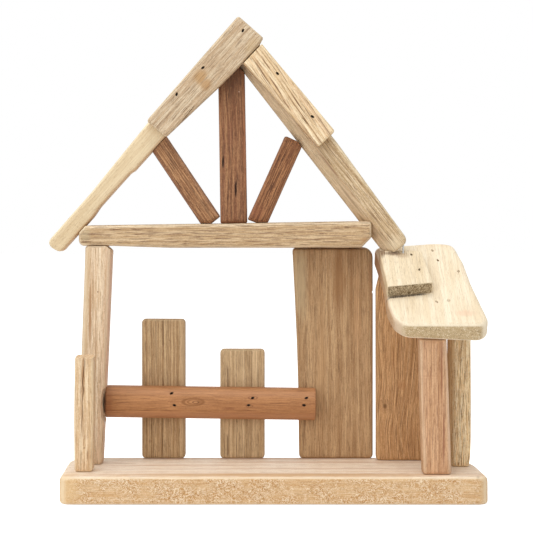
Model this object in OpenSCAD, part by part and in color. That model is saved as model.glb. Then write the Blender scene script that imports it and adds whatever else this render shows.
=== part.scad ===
// A small open stable of pale sanded sticks and boards, pinned with brads on one thick base board.
// Millimetres, X to the right, Y to the back, Z up. The origin is the middle of the base's underside.

/* [Base board] */
// Length of the base board, left to right
base_length = 270; // [250:1:300]
// Depth of the base board, front to back
base_depth = 81; // [79:0.5:92]
// Thickness of the base board
base_thickness = 18; // [15:0.5:26]
// Rounding of the base board's top edges
base_edge_round = 3.5; // [1.5:0.5:5]

/* [Left side and fence] */
// Height of the left corner post above the base
left_post_height = 143.4; // [130:0.1:156]
// Width of the left corner post at its top
left_post_width = 17.6; // [14:0.1:20]
// Depth of the left corner post
left_post_depth = 18; // [15:0.5:20]
// Height of the short stake at the front left
stake_height = 74; // [55:1:90]
// Width of the short stake
stake_width = 12.8; // [9:0.1:16]
// Depth of the short stake
stake_depth = 13; // [9:0.5:16]
// Thickness of the fence boards and the wall board
board_thickness = 8; // [6:0.5:10]
// Height of the left fence board above the base
left_fence_height = 93.7; // [75:0.1:115]
// Width of the left fence board
left_fence_width = 29.4; // [24:0.1:34]
// Height of the middle fence board above the base
middle_fence_height = 73.5; // [60:0.1:95]
// Width of the middle fence board
middle_fence_width = 30.1; // [24:0.1:34]
// How much lower the wall board is than the left corner post
wall_board_drop = 1.3; // [0:0.1:5]
// Width of the wall board at its foot
wall_board_width = 49.7; // [42:0.1:56]
// Height of the fence rail's section
rail_height = 21.2; // [17:0.1:25]
// Depth of the fence rail's half-round section
rail_depth = 16; // [13:0.5:18]
// Underside of the fence rail above the base
rail_level = 28.6; // [18:0.1:36]

/* [Gable] */
// Height of the tie beam's section at its left end
beam_left_height = 13.3; // [11:0.1:17]
// Height of the tie beam's section at its right end
beam_right_height = 17.5; // [14:0.1:21]
// Rise of the rafters' undersides from the tie beam's left top to the ridge
gable_rise = 109.1; // [95:0.1:120]
// Thickness of the rafters, front to back
rafter_thickness = 15; // [12:0.5:18]
// Greatest width of the left rafter
left_rafter_width = 15.3; // [12.5:0.1:17]
// Greatest width of the right rafter
right_rafter_width = 20; // [17:0.1:22]
// Thickness of the two ridge boards
ridge_board_thickness = 10; // [8:0.5:12]
// Length of the left ridge board
left_ridge_length = 91; // [80:0.5:100]
// Greatest width of the left ridge board
left_ridge_width = 23; // [20:0.1:26]
// Length of the right ridge board along its upper edge
right_ridge_length = 74.4; // [65:0.1:84]
// Width of the right ridge board at its upper end
right_ridge_width = 18.2; // [15:0.1:21]
// Width of the king post
king_width = 17.7; // [13:0.1:20]
// Depth of the king post
king_depth = 14; // [11:0.5:16]
// Width of the left strut
left_strut_width = 13.5; // [9:0.1:16]
// Width of the right strut
right_strut_width = 13.3; // [9:0.1:16]
// Depth of the two struts
strut_depth = 12; // [9:0.5:14]

/* [Lean-to] */
// How much lower the lean-to's back board is than the wall board, at its front face
lean_board_drop = 21.9; // [17:0.1:27]
// Width of the lean-to's back board
lean_board_width = 42.7; // [36:0.1:46]
// Thickness of the lean-to's back board
lean_board_thickness = 9; // [7:0.5:11]
// How much lower the lean-to's front post is than its back board, at their front faces
front_post_drop = 35.8; // [30:0.1:42]
// Width of the lean-to's front post at its top
front_post_width = 17.3; // [14:0.1:20]
// Depth of the lean-to's front post
front_post_depth = 16; // [13:0.5:18]
// Greatest width of the lean-to's side post
side_post_width = 14.4; // [12:0.1:16]
// Depth of the lean-to's side post
side_post_depth = 14; // [11:0.5:16]
// Thickness of the lean-to's roof slab
roof_thickness = 13.7; // [11:0.1:16]
// Length of the roof slab along its slope
roof_length = 90.5; // [86:0.5:100]
// Width of the roof slab at its back end
roof_back_width = 54; // [48:0.5:58]
// Width of the roof slab at its front end
roof_front_width = 60.2; // [55:0.1:64]
// Thickness of the batten on the roof slab
batten_thickness = 8.5; // [6:0.1:10]
// Width of the batten at its front end
batten_width = 29.9; // [24:0.1:32]
// Length of the batten along the slope
batten_length = 42.8; // [38:0.1:46]

/* [Brads] */
// Diameter of a brad's shank
brad_diameter = 1.2; // [1:0.1:1.4]
// Length of the short brads
short_brad = 18; // [15:0.5:18.5]
// Length of the long brads
long_brad = 23; // [21:0.5:24]
// Length of the nails from under the base
base_nail = 29; // [27:0.5:32]

/* [Hidden] */

// Steps of a rounded corner and of a rounded edge, and sides of the round bores
corner_steps = 4;
wide_corner_steps = 7;
wide_corner = 6;
edge_steps = 3;
round_sides = 24;
// Radius that a rounded corner keeps at least
least_round = 0.15;
// Gap left between faces that are cut to meet at a slant
fit_gap = 0.1;
// Size of the blocks that trim the ends of sticks, and how far a cut runs past a face
reach = 2 * base_length;
overrun = 1;

// Faces of the base board, with its left side splayed and its right side drawn in towards the back
left_end = -base_length / 2;
right_end = base_length / 2;
front_edge = -base_depth / 2;
back_edge = base_depth / 2;
base_top = base_thickness;
base_foot_round = 1.8;
left_splay = 2.5;
right_draw = 3.5;
base_corners = [8, 7, 36, 17];

// Front faces of the boards at the back and of the rafters
board_front = back_edge - board_thickness;
rafter_setback = 31;
rafter_front = back_edge - rafter_setback;

// Left corner post: it leans to the right and swells towards its top
post_inset = 6.1;
post_lead = 4;
post_lean = 5.75;
post_swell_shares = [[0, 0.926], [0.5, 0.977], [1, 1]];
post_front_round = 4.6;
post_back_round = 2.6;
post_shoulder = 3.4;
shoulder_slant = 42;
stick_end_round = 1.4;
post_x = left_end + post_inset + left_post_width * post_swell_shares[0][1] / 2;
post_front = rafter_front - post_lead;
post_top = base_top + left_post_height;
function post_half(h) = left_post_width * lookup(h / left_post_height, post_swell_shares) / 2;
function post_left(h) = post_x + post_lean * h / left_post_height - post_half(h);
function post_right(h) = post_x + post_lean * h / left_post_height + post_half(h);

// Short stake: it stands free, with its top cut on a slight slant
stake_inset = 13.7;
stake_setback = 16;
stake_lean = 0.4;
stake_round = 2.4;
stake_swell_shares = [[0, 0.914], [0.45, 1], [1, 0.94]];
stake_foot_round = 2;
stake_slant = 5;
stake_top_drop = 1.2;
stake_x = left_end + stake_inset;
stake_front = front_edge + stake_setback;

// Boards at the back: the wall board stands a fixed way in from the right end and widens upwards
board_round = 1.8;
board_back_round = 1.2;
board_corner = 2.5;
wall_right_inset = 68.1;
wall_top_corners = [7, 3];
wall_top_wear = [4.4, 1.6];
wall_width_shares = [[0, 1], [0.338, 1.012], [0.549, 1.03], [0.781, 1.06], [1, 1.093]];
wall_board_height = left_post_height - wall_board_drop;
wall_right = right_end - wall_right_inset;
wall_top = base_top + wall_board_height;
function wall_left(h) = wall_right - wall_board_width * lookup(h / wall_board_height, wall_width_shares);

// Rail: it runs from the left post to the wall board, in front of the fence boards
rail_lap = 11.1;
rail_front_round = 9.6;
rail_back_round = 1.5;
rail_end_round = 1;
rail_seat = 1;
gouge_hollow = 1.3;
gouge_depth = 14;
gouge_sides = 96;
rail_dip = 0.8;
rail_bottom = base_top + rail_level;
rail_top_level = rail_level + rail_height;
rail_front = board_front - rail_depth;
rail_left = post_right(rail_level) - rail_seat;
rail_right = wall_left(rail_level + rail_height / 2) + rail_lap;
gouge_radius = (rail_height ^ 2 / 4 + gouge_hollow ^ 2) / (2 * gouge_hollow);
left_fence_share = 0.2743;
middle_fence_share = 0.6525;
left_fence_x = rail_left + left_fence_share * (rail_right - rail_left);
middle_fence_x = rail_left + middle_fence_share * (rail_right - rail_left);

// Tie beam: it bears on the left post and on the wall board, ahead of the rafters
beam_left_overhang = 4.2;
beam_right_gap = 2.5;
beam_lead = 3;
beam_seat = 5;
beam_round = 2.6;
beam_back_round = 1.6;
beam_nose_round = 3.4;
beam_bearing = 23;
beam_relief = 60;
beam_end_cut = [6.8, 6.9];
beam_end_round = 2.5;
beam_left = post_left(left_post_height) - beam_left_overhang;
beam_right = wall_right - beam_right_gap;
beam_front = rafter_front - beam_lead;
beam_depth = board_front + beam_seat - beam_front;
beam_seat_point = [beam_left + beam_left_overhang, post_top + beam_left_height];
beam_top_tilt = atan2(wall_top + beam_right_height - beam_seat_point[1], beam_right - beam_seat_point[0]);
function beam_top(x) = beam_seat_point[1] + (x - beam_seat_point[0]) * tan(beam_top_tilt);

// Lean-to: its roof slab bears on the back board and on the two posts
lean_gap = 1.4;
lean_board_height = wall_board_height - lean_board_drop;
lean_board_shoulder = [3.6, 6, 9];
lean_board_front = board_front - lean_board_thickness;
lean_board_left = wall_right + lean_gap;
lean_board_right = lean_board_left + lean_board_width;
front_post_height = lean_board_height - front_post_drop;
front_post_setback = 6;
front_post_inset = 31.95;
front_post_lean = -2.95;
front_post_swell_shares = [[0, 1.052], [0.5, 1.052], [1, 1]];
front_post_front = front_edge + front_post_setback;
front_post_x = right_end - front_post_inset;
side_post_setback = 37;
side_post_inset = 13.65;
side_post_lean = -0.4;
side_post_swell_shares = [[0, 0.78], [0.06, 0.93], [0.16, 0.98], [0.4, 1.01], [1, 0.975]];
side_post_front = front_edge + side_post_setback;
side_post_x = right_end - side_post_inset;
lean_post_round = 2.8;
side_post_round = 2;
roof_slope = atan2(lean_board_height - front_post_height, lean_board_front - front_post_front);
roof_origin = [0, front_post_front, base_top + front_post_height];
front_post_length = front_post_height + front_post_depth * tan(roof_slope) + overrun;
side_post_length = front_post_height + overrun
    + (side_post_front + side_post_depth - front_post_front) * tan(roof_slope);

// Roof slab: its sides wander, its back edge bows, and its lower edge is worn rounder at the front left
roof_front_reach = 1.7;
roof_side_gap = 0.4;
roof_left = wall_right + roof_side_gap;
roof_left_taper = 8.7;
roof_left_shares = [[0, 1], [0.25, 0.58], [0.55, 0.53], [0.85, 0.2], [1, 0]];
roof_right_shares = [[0, 1], [0.25, 0.75], [0.52, 0.487], [0.8, 0.315], [1, 0]];
roof_bow_share = 0.8;
roof_bow = [5.2, 3.2];
roof_corners = [14, 8, 7, 30, 5];
roof_top_round = 3.2;
roof_under_rounds = [7, 3, 2.6, 2.4, 2.2, 2.2, 2.2, 2.6, 3, 3.4, 4.5];
roof_right_taper = roof_left_taper + roof_front_width - roof_back_width;
function roof_left_x(share) = roof_left + roof_left_taper * lookup(share, roof_left_shares);
function roof_right_x(share) = roof_left + roof_back_width
    + roof_right_taper * lookup(share, roof_right_shares);
function roof_y(share) = share * roof_length - roof_front_reach;

// Batten: it lies along the roof slab's left edge under the right rafter's foot
batten_start = 30.1;
batten_skew = 4.9;
batten_side_gap = 0.1;
batten_back_share = 0.95;
batten_round = 1;
batten_corner = 1.4;
batten_end = batten_start + batten_length;
batten_top = roof_thickness + batten_thickness;
function batten_top_at(y) = roof_origin[2] + (y - roof_origin[1]) * tan(roof_slope)
    + batten_top / cos(roof_slope);

// Unit directions at an angle from the X axis, and the same turned a quarter to the left
function along(angle) = [cos(angle), sin(angle)];
function across(angle) = [-sin(angle), cos(angle)];
function unit(v) = v / norm(v);
function left_of(v) = [-v[1], v[0]];
function flat(p) = [p[0], p[1]];
// How far from p along d the line through q along e is crossed
function crossing(p, d, q, e) = (e[0] * (p[1] - q[1]) - e[1] * (p[0] - q[0])) / (e[1] * d[0] - e[0] * d[1]);

// Ridge: the point where the rafters' undersides meet, as a share of the tie beam's length
ridge_share = 0.5307;
ridge = [beam_left + ridge_share * (beam_right - beam_left), beam_seat_point[1] + gable_rise];

// Left rafter: from its foot past the tie beam's left end up to the right rafter
eave = 24.6;
left_rafter_shares = [[0, 0.745], [0.25, 0.77], [0.6, 0.965], [1, 1]];
left_foot_round = 4;
left_end_run = 5;
left_hollow = [[32.7, 0], [39.7, 1], [69.7, 1], [73.2, 0]];
left_slope = atan2(ridge[1] - beam_seat_point[1], ridge[0] - beam_seat_point[0]);
left_rafter_foot = beam_seat_point - eave * along(left_slope);
left_rafter_length = norm(ridge - left_rafter_foot);
function left_width_at(s) = left_rafter_width * lookup(s / left_rafter_length, left_rafter_shares);

// Right rafter: from its square end past the ridge down to the batten
foot_inset = 2.9;
foot_lift = 3.1;
ridge_reach = 15.3;
foot_tip = [6.6, 0.19];
right_rafter_shares = [[0, 0.96], [0.53, 1], [1, 0.88]];
foot_round = 4.6;
foot_heel_round = 1;
foot_tip_round = 2.4;
bevel_width = 6.4;
bevel_depth = 8;
rafter_round = 2;
rafter_back_round = 1.6;
right_foot = [wall_right + lean_gap + foot_inset, batten_top_at(rafter_front) + foot_lift];
right_slope = atan2(ridge[1] - right_foot[1], right_foot[0] - ridge[0]);
right_rafter_length = norm(right_foot - ridge);
function right_width_at(s) = right_rafter_width * lookup(s / right_rafter_length, right_rafter_shares);

// Ridge boards: each roughly follows its rafter's slope, and the right one butts the left one
left_ridge_skew = 0.7;
left_ridge_past = 22.55;
left_ridge_cover = 16.5;
left_ridge_shares = [[0, 0.94], [0.066, 1], [0.255, 0.97], [0.481, 0.913], [0.664, 0.843], [1, 0.717]];
left_ridge_tilt = left_slope + left_ridge_skew;
left_ridge_corner = ridge + left_ridge_past * along(left_slope) + left_ridge_cover * across(left_slope);
right_ridge_skew = 2.1;
right_ridge_start = 3.6;
right_ridge_cover = 20.25;
right_ridge_end_share = 0.835;
right_ridge_tilt = right_ridge_skew - right_slope;
right_ridge_corner = ridge + right_ridge_start * along(-right_slope) + right_ridge_cover * across(-right_slope);
ridge_gap = 0.5;
ridge_board_front = rafter_front - ridge_board_thickness;
ridge_board_round = 1.6;
ridge_board_corner = 1.8;
ridge_tip_round = 0.7;

// King post and struts: they stand on the tie beam, cut to the rafters' undersides
king_setback = 3.5;
king_shift = 0.4;
king_lean = -1.75;
king_round = 2.2;
king_foot_round = 0.8;
king_x = ridge[0] - king_shift;
king_lean_tilt = atan2(-king_lean, gable_rise);
strut_setback = 3;
strut_round = 2.4;
left_strut_tilt = 33.8;
left_strut_heel = 4.6;
right_strut_tilt = 24.1;
right_strut_heel = 2.3;
heel_run = 5.8;
right_strut_top_round = 1.5;
strut_tuck = 2.5;
left_strut_start = [king_x - king_width / 2 - fit_gap - left_strut_heel * tan(king_lean_tilt),
    beam_top(king_x - king_width / 2) + left_strut_heel];
left_strut_outer = left_strut_start + left_strut_width * along(180 + left_strut_tilt);
right_strut_start = [king_x + king_width / 2 + fit_gap, beam_top(king_x + king_width / 2) + right_strut_heel];
right_strut_outer = right_strut_start + right_strut_width * along(-right_strut_tilt);
right_strut_run = crossing(right_strut_outer, along(90 - right_strut_tilt), ridge, along(-right_slope));

// Points of one corner set in by inset: one point, or an arc where the corner is rounded
function corner_points(before, here, after, round, inset) =
    let (n1 = left_of(unit(here - before)))
    let (n2 = left_of(unit(after - here)))
    let (mitre = (n1 + n2) / (1 + n1 * n2))
    let (r = max(round - inset, least_round))
    let (centre = here + (inset + r) * mitre)
    let (start = atan2(-n1[1], -n1[0]))
    let (turn = atan2(n1[0] * n2[1] - n1[1] * n2[0], n1 * n2))
    let (steps = round > wide_corner ? wide_corner_steps : corner_steps)
    round == 0 ? [here + inset * mitre]
        : [for (k = [0 : steps]) centre + r * along(start + turn * k / steps)];

// A rounding that is one number for the whole outline or a list with one for each corner
function pick(rounds, i) = is_list(rounds) ? rounds[i] : rounds;

// Ring k of a rounded edge, from the flat face at a level to the side above or below it
function edge_ring(outline, rounds, k, level, rise) =
    let (n = len(outline))
    let (inward = 1 - sin(90 * k / edge_steps))
    let (upward = rise * (1 - cos(90 * k / edge_steps)))
    [for (i = [0 : n - 1])
        for (p = corner_points(flat(outline[(i + n - 1) % n]), flat(outline[i]),
            flat(outline[(i + 1) % n]), outline[i][2], inward * pick(rounds, i)))
            [p[0], p[1], level + upward * pick(rounds, i)]];

// A closed skin over rings that all have the same number of points
module skin(rings) {
    n = len(rings[0]);
    last = len(rings) - 1;
    sides = [for (j = [0 : last - 1]) for (i = [0 : n - 1])
        let (a = j * n + i)
        let (b = j * n + (i + 1) % n)
        each [[a, a + n, b + n], [a, b + n, b]]];
    ends = [[for (i = [0 : n - 1]) i], [for (i = [n - 1 : -1 : 0]) last * n + i]];
    polyhedron([for (r = rings) each r], concat(sides, ends), convexity = 4);
}

// A board: an outline with its thickness along Z and rounded edges
module board(outline, thickness, low_round, high_round) {
    skin(concat(
        [for (k = [0 : edge_steps]) edge_ring(outline, low_round, k, 0, 1)],
        [for (k = [edge_steps : -1 : 0]) edge_ring(outline, high_round, k, thickness, -1)]));
}

// A board that faces the front: its outline is in X and Z, and front is the Y of its front face
module front_board(outline, front, thickness, front_round, back_round) {
    translate([0, front + thickness, 0])
        rotate([90, 0, 0])
            board(outline, thickness, back_round, front_round);
}

// A stick: a section in X and Y carried up Z, with its width and its sway following the height
module stick(section, length, foot_round, top_round, shares, sway) {
    rings = concat(
        [for (k = [0 : edge_steps]) edge_ring(section, foot_round, k, 0, 1)],
        [for (row = shares) if (row[0] > 0 && row[0] < 1)
            edge_ring(section, foot_round, edge_steps, row[0] * length, 0)],
        [for (k = [edge_steps : -1 : 0]) edge_ring(section, top_round, k, length, -1)]);
    skin([for (r = rings) [for (p = r)
        [p[0] * lookup(p[2] / length, shares) + sway * p[2] / length, p[1], p[2]]]]);
}

// A stick's section: its width along X about the middle, its depth along Y from the front
function stick_section(width, depth, front_round, back_round) = [
    [-width / 2, 0, front_round], [width / 2, 0, front_round],
    [width / 2, depth, back_round], [-width / 2, depth, back_round]];

// An upright board's outline, width by height from the base's top, about its middle
function upright_outline(middle, width, height, corner) = [
    [middle - width / 2, base_top, corner], [middle + width / 2, base_top, corner],
    [middle + width / 2, base_top + height, corner], [middle - width / 2, base_top + height, corner]];

// A corner of an outline at a point given along and across a slanted stick
function at(origin, angle, s, w, round) = concat(origin + s * along(angle) + w * across(angle), [round]);

// Everything to the left of a line in X and Z that runs through a point at an angle
module left_side(point, angle) {
    translate([point[0], 0, point[1]])
        rotate([0, -angle, 0])
            translate([-reach, -reach, 0])
                cube([2 * reach, 2 * reach, reach]);
}

// The space of each rafter, above the line of its underside
module above_left_rafter() {
    left_side(beam_seat_point, left_slope);
}

module above_right_rafter() {
    left_side(ridge, -right_slope);
}

// Puts what is drawn on the roof slab's underside in its place
module on_roof() {
    translate(roof_origin)
        rotate([roof_slope, 0, 0])
            children();
}

// The space above the roof slab's underside, and the space below the batten's top
module above_roof_underside() {
    on_roof()
        translate([-reach, -reach, -fit_gap])
            cube([2 * reach, 2 * reach, reach]);
}

module below_batten_top() {
    on_roof() {
        translate([-reach, -reach, batten_top + fit_gap - reach])
            cube([2 * reach, reach + roof_y(batten_end / roof_length) + fit_gap, reach]);
        translate([-reach, -reach, roof_thickness + fit_gap - reach])
            cube([2 * reach, 2 * reach, reach]);
    }
}

// A space that runs along the right rafter, drawn by its depth and its height over the underside
module along_right_rafter(points) {
    translate([ridge[0], 0, ridge[1]])
        rotate([0, right_slope, 0])
            rotate([90, 0, 90])
                translate([0, 0, -reach])
                    linear_extrude(2 * reach)
                        polygon(points);
}

// Brads: a T-shaped head sunk below the face, and a shank in a bore of its own
head_size = [2.1, 1, 0.8];
head_sink = 1;
bore_gap = 0.05;
tip_gap = 0.3;

// One brad, driven down from the face at Z = 0
module brad(length) {
    translate([-head_size[0] / 2, -head_size[1] / 2, -head_sink - head_size[2]])
        cube(head_size);
    translate([0, 0, -head_sink - length])
        cylinder(d = brad_diameter, h = length - head_size[2] / 2, $fn = round_sides);
}

// The bore and the head's slot that a brad leaves
module brad_bore(length) {
    slot = [head_size[0] + 2 * bore_gap, head_size[1] + 2 * bore_gap,
        head_sink + head_size[2] + bore_gap + overrun];
    translate([-slot[0] / 2, -slot[1] / 2, overrun - slot[2]])
        cube(slot);
    translate([0, 0, -head_sink - length - tip_gap])
        cylinder(d = brad_diameter + 2 * bore_gap, h = length + tip_gap, $fn = round_sides);
}

// Nails from under the base: a round head in a counterbore
nail_diameter = 1.5;
nail_head_diameter = 3.2;
nail_head_thickness = 0.8;
nail_sink = 1.2;
nail_head_gap = 0.2;

module nail(length) {
    translate([0, 0, -nail_sink - nail_head_thickness])
        cylinder(d = nail_head_diameter, h = nail_head_thickness, $fn = round_sides);
    translate([0, 0, -nail_sink - length])
        cylinder(d = nail_diameter, h = length - nail_head_thickness / 2, $fn = round_sides);
}

module nail_bore(length) {
    translate([0, 0, -nail_sink - nail_head_thickness - bore_gap])
        cylinder(d = nail_head_diameter + nail_head_gap, h = nail_sink + nail_head_thickness + bore_gap + overrun,
            $fn = round_sides);
    translate([0, 0, -nail_sink - length - tip_gap])
        cylinder(d = nail_diameter + 2 * bore_gap, h = length + tip_gap, $fn = round_sides);
}

// What is driven at each of a list of places: [point on the face, turn]
module driven(places) {
    for (p = places)
        translate(p[0])
            rotate(p[1])
                children();
}

from_front = [90, 0, 0];
from_above = [0, 0, 0];
from_below = [180, 0, 0];
across_roof = [roof_slope, 0, 0];
function in_front(p, y) = [p[0], y, p[1]];
function roof_point(x, y, level) = roof_origin
    + [x, y * cos(roof_slope) - level * sin(roof_slope), y * sin(roof_slope) + level * cos(roof_slope)];

// Brads of the ridge boards, by shares of each board's length and width
left_ridge_brad_shares = [[0.059, 0.378], [0.447, 0.22], [0.714, 0.155]];
right_ridge_brad_shares = [[0.288, 0.26], [0.775, 0.29]];
ridge_board_places = concat(
    [for (s = left_ridge_brad_shares) [in_front(left_ridge_corner
        - s[0] * left_ridge_length * along(left_ridge_tilt)
        - s[1] * left_ridge_width * across(left_ridge_tilt), ridge_board_front), from_front]],
    [for (s = right_ridge_brad_shares) [in_front(right_ridge_corner
        + s[0] * right_ridge_length * along(right_ridge_tilt)
        - s[1] * right_ridge_width * across(right_ridge_tilt), ridge_board_front), from_front]]);

// Brads of the rail, by shares of its height, each on its round face
rail_brad_shares = [0.79, 0.43, 0.65];
left_fence_brads = [8.5, 6.5];
middle_fence_brads = [8.1, 10.7];
wall_brads = [5.2, 3.6];
rail_brad = rail_depth + board_thickness / 2 - head_sink;
left_fence_right = left_fence_x + left_fence_width / 2;
middle_fence_right = middle_fence_x + middle_fence_width / 2;
function rail_face(x, level) =
    let (off = abs(level + (x - rail_left) * tan(rail_dip) - rail_height / 2) + rail_front_round - rail_height / 2)
    rail_front_round - sqrt(rail_front_round ^ 2 - max(off, 0) ^ 2);
function rail_place(x, row) =
    let (level = rail_brad_shares[row] * rail_height)
    [[x, rail_front + rail_face(x, level), rail_bottom + level], from_front];
rail_places = [
    rail_place(left_fence_right - left_fence_brads[0], 0),
    rail_place(left_fence_right - left_fence_brads[1], 1),
    rail_place(middle_fence_right - middle_fence_brads[0], 2),
    rail_place(middle_fence_right - middle_fence_brads[1], 1),
    rail_place(wall_left(rail_top_level) + wall_brads[0], 2),
    rail_place(wall_left(rail_top_level) + wall_brads[1], 1)];

// Brads of the roof slab: into the back board, the side post and the front post
back_brad = [4.7, 83.5];
slant_brad = [1.95, 71.5];
side_brad_row = 58.4;
front_brad = [0.8, 23.7];
toe_brad = [8.6, 25.2];
toe_turn = [-7, 17, 0];
roof_places = [
    [roof_point(lean_board_right - back_brad[0], back_brad[1], roof_thickness), from_above],
    [roof_point(side_post_x, side_brad_row, roof_thickness), from_above],
    [roof_point(front_post_x + front_brad[0], front_brad[1], roof_thickness), from_above],
    [roof_point(front_post_x + toe_brad[0], toe_brad[1], roof_thickness), toe_turn]];
roof_slant_places = [
    [roof_point(lean_board_right - slant_brad[0], slant_brad[1], roof_thickness), across_roof]];

// Brads of the batten, by shares of its width and length
batten_brad_shares = [[0.615, 0.87], [0.743, 0.455]];
batten_brad = batten_top * 0.8;
batten_places = [for (s = batten_brad_shares)
    [roof_point(roof_left_x(batten_start / roof_length) + s[0] * batten_width,
        roof_y(batten_start / roof_length) + s[1] * batten_length, batten_top), across_roof]];

// Brad that pins the right rafter's foot on the batten and shows in the gap below the foot
foot_brad_shift = 0.4;
foot_brad_depth = 2.1;
foot_brad_places = [[in_front(right_foot + foot_brad_shift * along(-right_slope)
    + right_width_at(right_rafter_length) * across(-right_slope), rafter_front + foot_brad_depth),
    from_above]];

// Brads through the rafters into the tie beam, the king post and the struts
left_row = rafter_front + rafter_thickness / 2;
right_row = rafter_front + rafter_thickness * 0.72;
beam_brad_run = 3;
strut_brad_share = 0.565;
king_brad_run = 9.5;
left_gable_runs = [eave - beam_brad_run, left_rafter_length * strut_brad_share,
    left_rafter_length - king_brad_run];
right_gable_runs = [5.5, 71.5];
left_gable_places = [for (s = left_gable_runs)
    [in_front(left_rafter_foot + s * along(left_slope) + left_width_at(s) * across(left_slope), left_row),
        [0, -left_slope, 0]]];
right_gable_places = [for (s = right_gable_runs)
    [in_front(ridge + s * along(-right_slope) + right_width_at(s) * across(-right_slope), right_row),
        [0, right_slope, 0]]];

// Brads through the tie beam: down into the post and the wall board, up into the king post
beam_post_brad = 13;
beam_wall_shares = [0.25, 0.75];
beam_king_spread = 4;
wall_row = board_front + beam_seat / 2;
king_row = rafter_front + king_setback + king_depth / 2;
beam_places = concat(
    [[in_front([beam_left + beam_post_brad, beam_top(beam_left + beam_post_brad)],
        post_front + left_post_depth / 2), from_above]],
    [for (s = beam_wall_shares)
        let (x = wall_left(wall_board_height) + s * (beam_right - wall_left(wall_board_height)))
        [[x, wall_row, beam_top(x)], from_above]],
    [for (side = [-1, 1]) [[king_x + side * beam_king_spread, king_row, wall_top], from_below]]);

// Nails up through the base into whatever stands on it
board_pin_row = board_front + board_thickness * 0.4;
lean_pin_row = lean_board_front + lean_board_thickness / 2;
board_pin_shares = [0.25, 0.75];
base_places = [for (p = concat(
    [[post_x, post_front + left_post_depth / 2],
        [stake_x, stake_front + stake_depth / 2],
        [left_fence_x, board_pin_row],
        [middle_fence_x, board_pin_row],
        [front_post_x, front_post_front + front_post_depth / 2],
        [side_post_x, side_post_front + side_post_depth / 2]],
    [for (s = board_pin_shares) [wall_right - s * wall_board_width, board_pin_row]],
    [for (s = board_pin_shares) [lean_board_left + s * lean_board_width, lean_pin_row]]))
    [[p[0], p[1], 0], from_below]];

module base_nail_bores() {
    driven(base_places)
        nail_bore(base_nail);
}

module base_board() {
    outline = [
        [left_end, front_edge, base_corners[0]],
        [right_end, front_edge, base_corners[1]],
        [right_end - right_draw, back_edge, base_corners[2]],
        [left_end - left_splay, back_edge, base_corners[3]]];
    color("#D6AE79")
        difference() {
            board(outline, base_thickness, base_foot_round, base_edge_round);
            base_nail_bores();
        }
}

// The post is notched for the rail's end, and in front of the end the notch is gouged a little deeper
module rail_notch() {
    translate([rail_left, post_front - overrun, rail_bottom])
        rotate([0, rail_dip, 0])
            translate([0, 0, -fit_gap]) {
                cube([rail_height, left_post_depth + 2 * overrun, rail_height + 2 * fit_gap]);
                intersection() {
                    translate([-rail_height / 2, 0, 0])
                        cube([rail_height, gouge_depth + overrun, rail_height + 2 * fit_gap]);
                    translate([gouge_radius - gouge_hollow, gouge_depth + 2 * overrun, rail_height / 2])
                        rotate([90, 0, 0])
                            cylinder(r = gouge_radius, h = gouge_depth + 3 * overrun, $fn = gouge_sides);
                }
            }
}

module left_corner_post() {
    color("#D9BE96")
        difference() {
            translate([post_x, post_front, base_top])
                stick(stick_section(left_post_width, left_post_depth, post_front_round, post_back_round),
                    left_post_height, stick_end_round, stick_end_round, post_swell_shares, post_lean);
            // The outer corner of its top is sanded to a slant
            translate([post_right(left_post_height), 0, post_top - post_shoulder])
                rotate([0, shoulder_slant, 0])
                    translate([-reach, -reach, 0])
                        cube([2 * reach, 2 * reach, reach]);
            rail_notch();
            base_nail_bores();
            driven(beam_places)
                brad_bore(long_brad);
        }
}

module left_front_stake() {
    color("#D3B78F")
        difference() {
            translate([stake_x, stake_front, base_top])
                stick(stick_section(stake_width, stake_depth, stake_round, stake_round),
                    stake_height, stake_foot_round, stick_end_round, stake_swell_shares, stake_lean);
            translate([0, stake_front, base_top + stake_height - stake_top_drop])
                rotate([stake_slant, 0, 0])
                    translate([-reach, -reach, 0])
                        cube([2 * reach, 2 * reach, reach]);
            base_nail_bores();
        }
}

module left_fence_board() {
    color("#A98B66")
        difference() {
            front_board(upright_outline(left_fence_x, left_fence_width, left_fence_height, board_corner),
                board_front, board_thickness, board_round, board_back_round);
            base_nail_bores();
            driven(rail_places)
                brad_bore(rail_brad);
        }
}

module middle_fence_board() {
    color("#A98B66")
        difference() {
            front_board(upright_outline(middle_fence_x, middle_fence_width, middle_fence_height, board_corner),
                board_front, board_thickness, board_round, board_back_round);
            base_nail_bores();
            driven(rail_places)
                brad_bore(rail_brad);
        }
}

module fence_rail() {
    section = [
        [0, 0, rail_front_round],
        [rail_depth, 0, rail_back_round],
        [rail_depth, rail_height, rail_back_round],
        [0, rail_height, rail_front_round]];
    color("#B87B57")
        difference() {
            translate([rail_left + fit_gap, rail_front, rail_bottom])
                rotate([0, rail_dip, 0])
                    rotate([90, 0, 90])
                        board(section, rail_right - rail_left, rail_end_round, rail_end_round);
            driven(rail_places)
                brad_bore(rail_brad);
        }
}

module back_wall_board() {
    sides = [for (k = [len(wall_width_shares) - 2 : -1 : 1]) wall_width_shares[k][0] * wall_board_height];
    outline = concat(
        [[wall_left(0), base_top, board_corner],
            [wall_right, base_top, board_corner],
            [wall_right, wall_top, wall_top_corners[0]],
            [wall_left(wall_board_height), wall_top, wall_top_corners[1]]],
        [for (h = sides) [wall_left(h), base_top + h, 0]]);
    color("#B58A5F")
        difference() {
            front_board(outline, board_front, board_thickness, board_round, board_back_round);
            // Its top is worn to a slant in front, so it carries the beam on its back half
            translate([0, board_front, wall_top - wall_top_wear[1]])
                rotate([atan2(wall_top_wear[1], wall_top_wear[0]), 0, 0])
                    translate([-reach, -reach, 0])
                        cube([2 * reach, 2 * reach, reach]);
            base_nail_bores();
            driven(rail_places)
                brad_bore(rail_brad);
            driven(beam_places)
                brad_bore(long_brad);
        }
}

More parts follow.
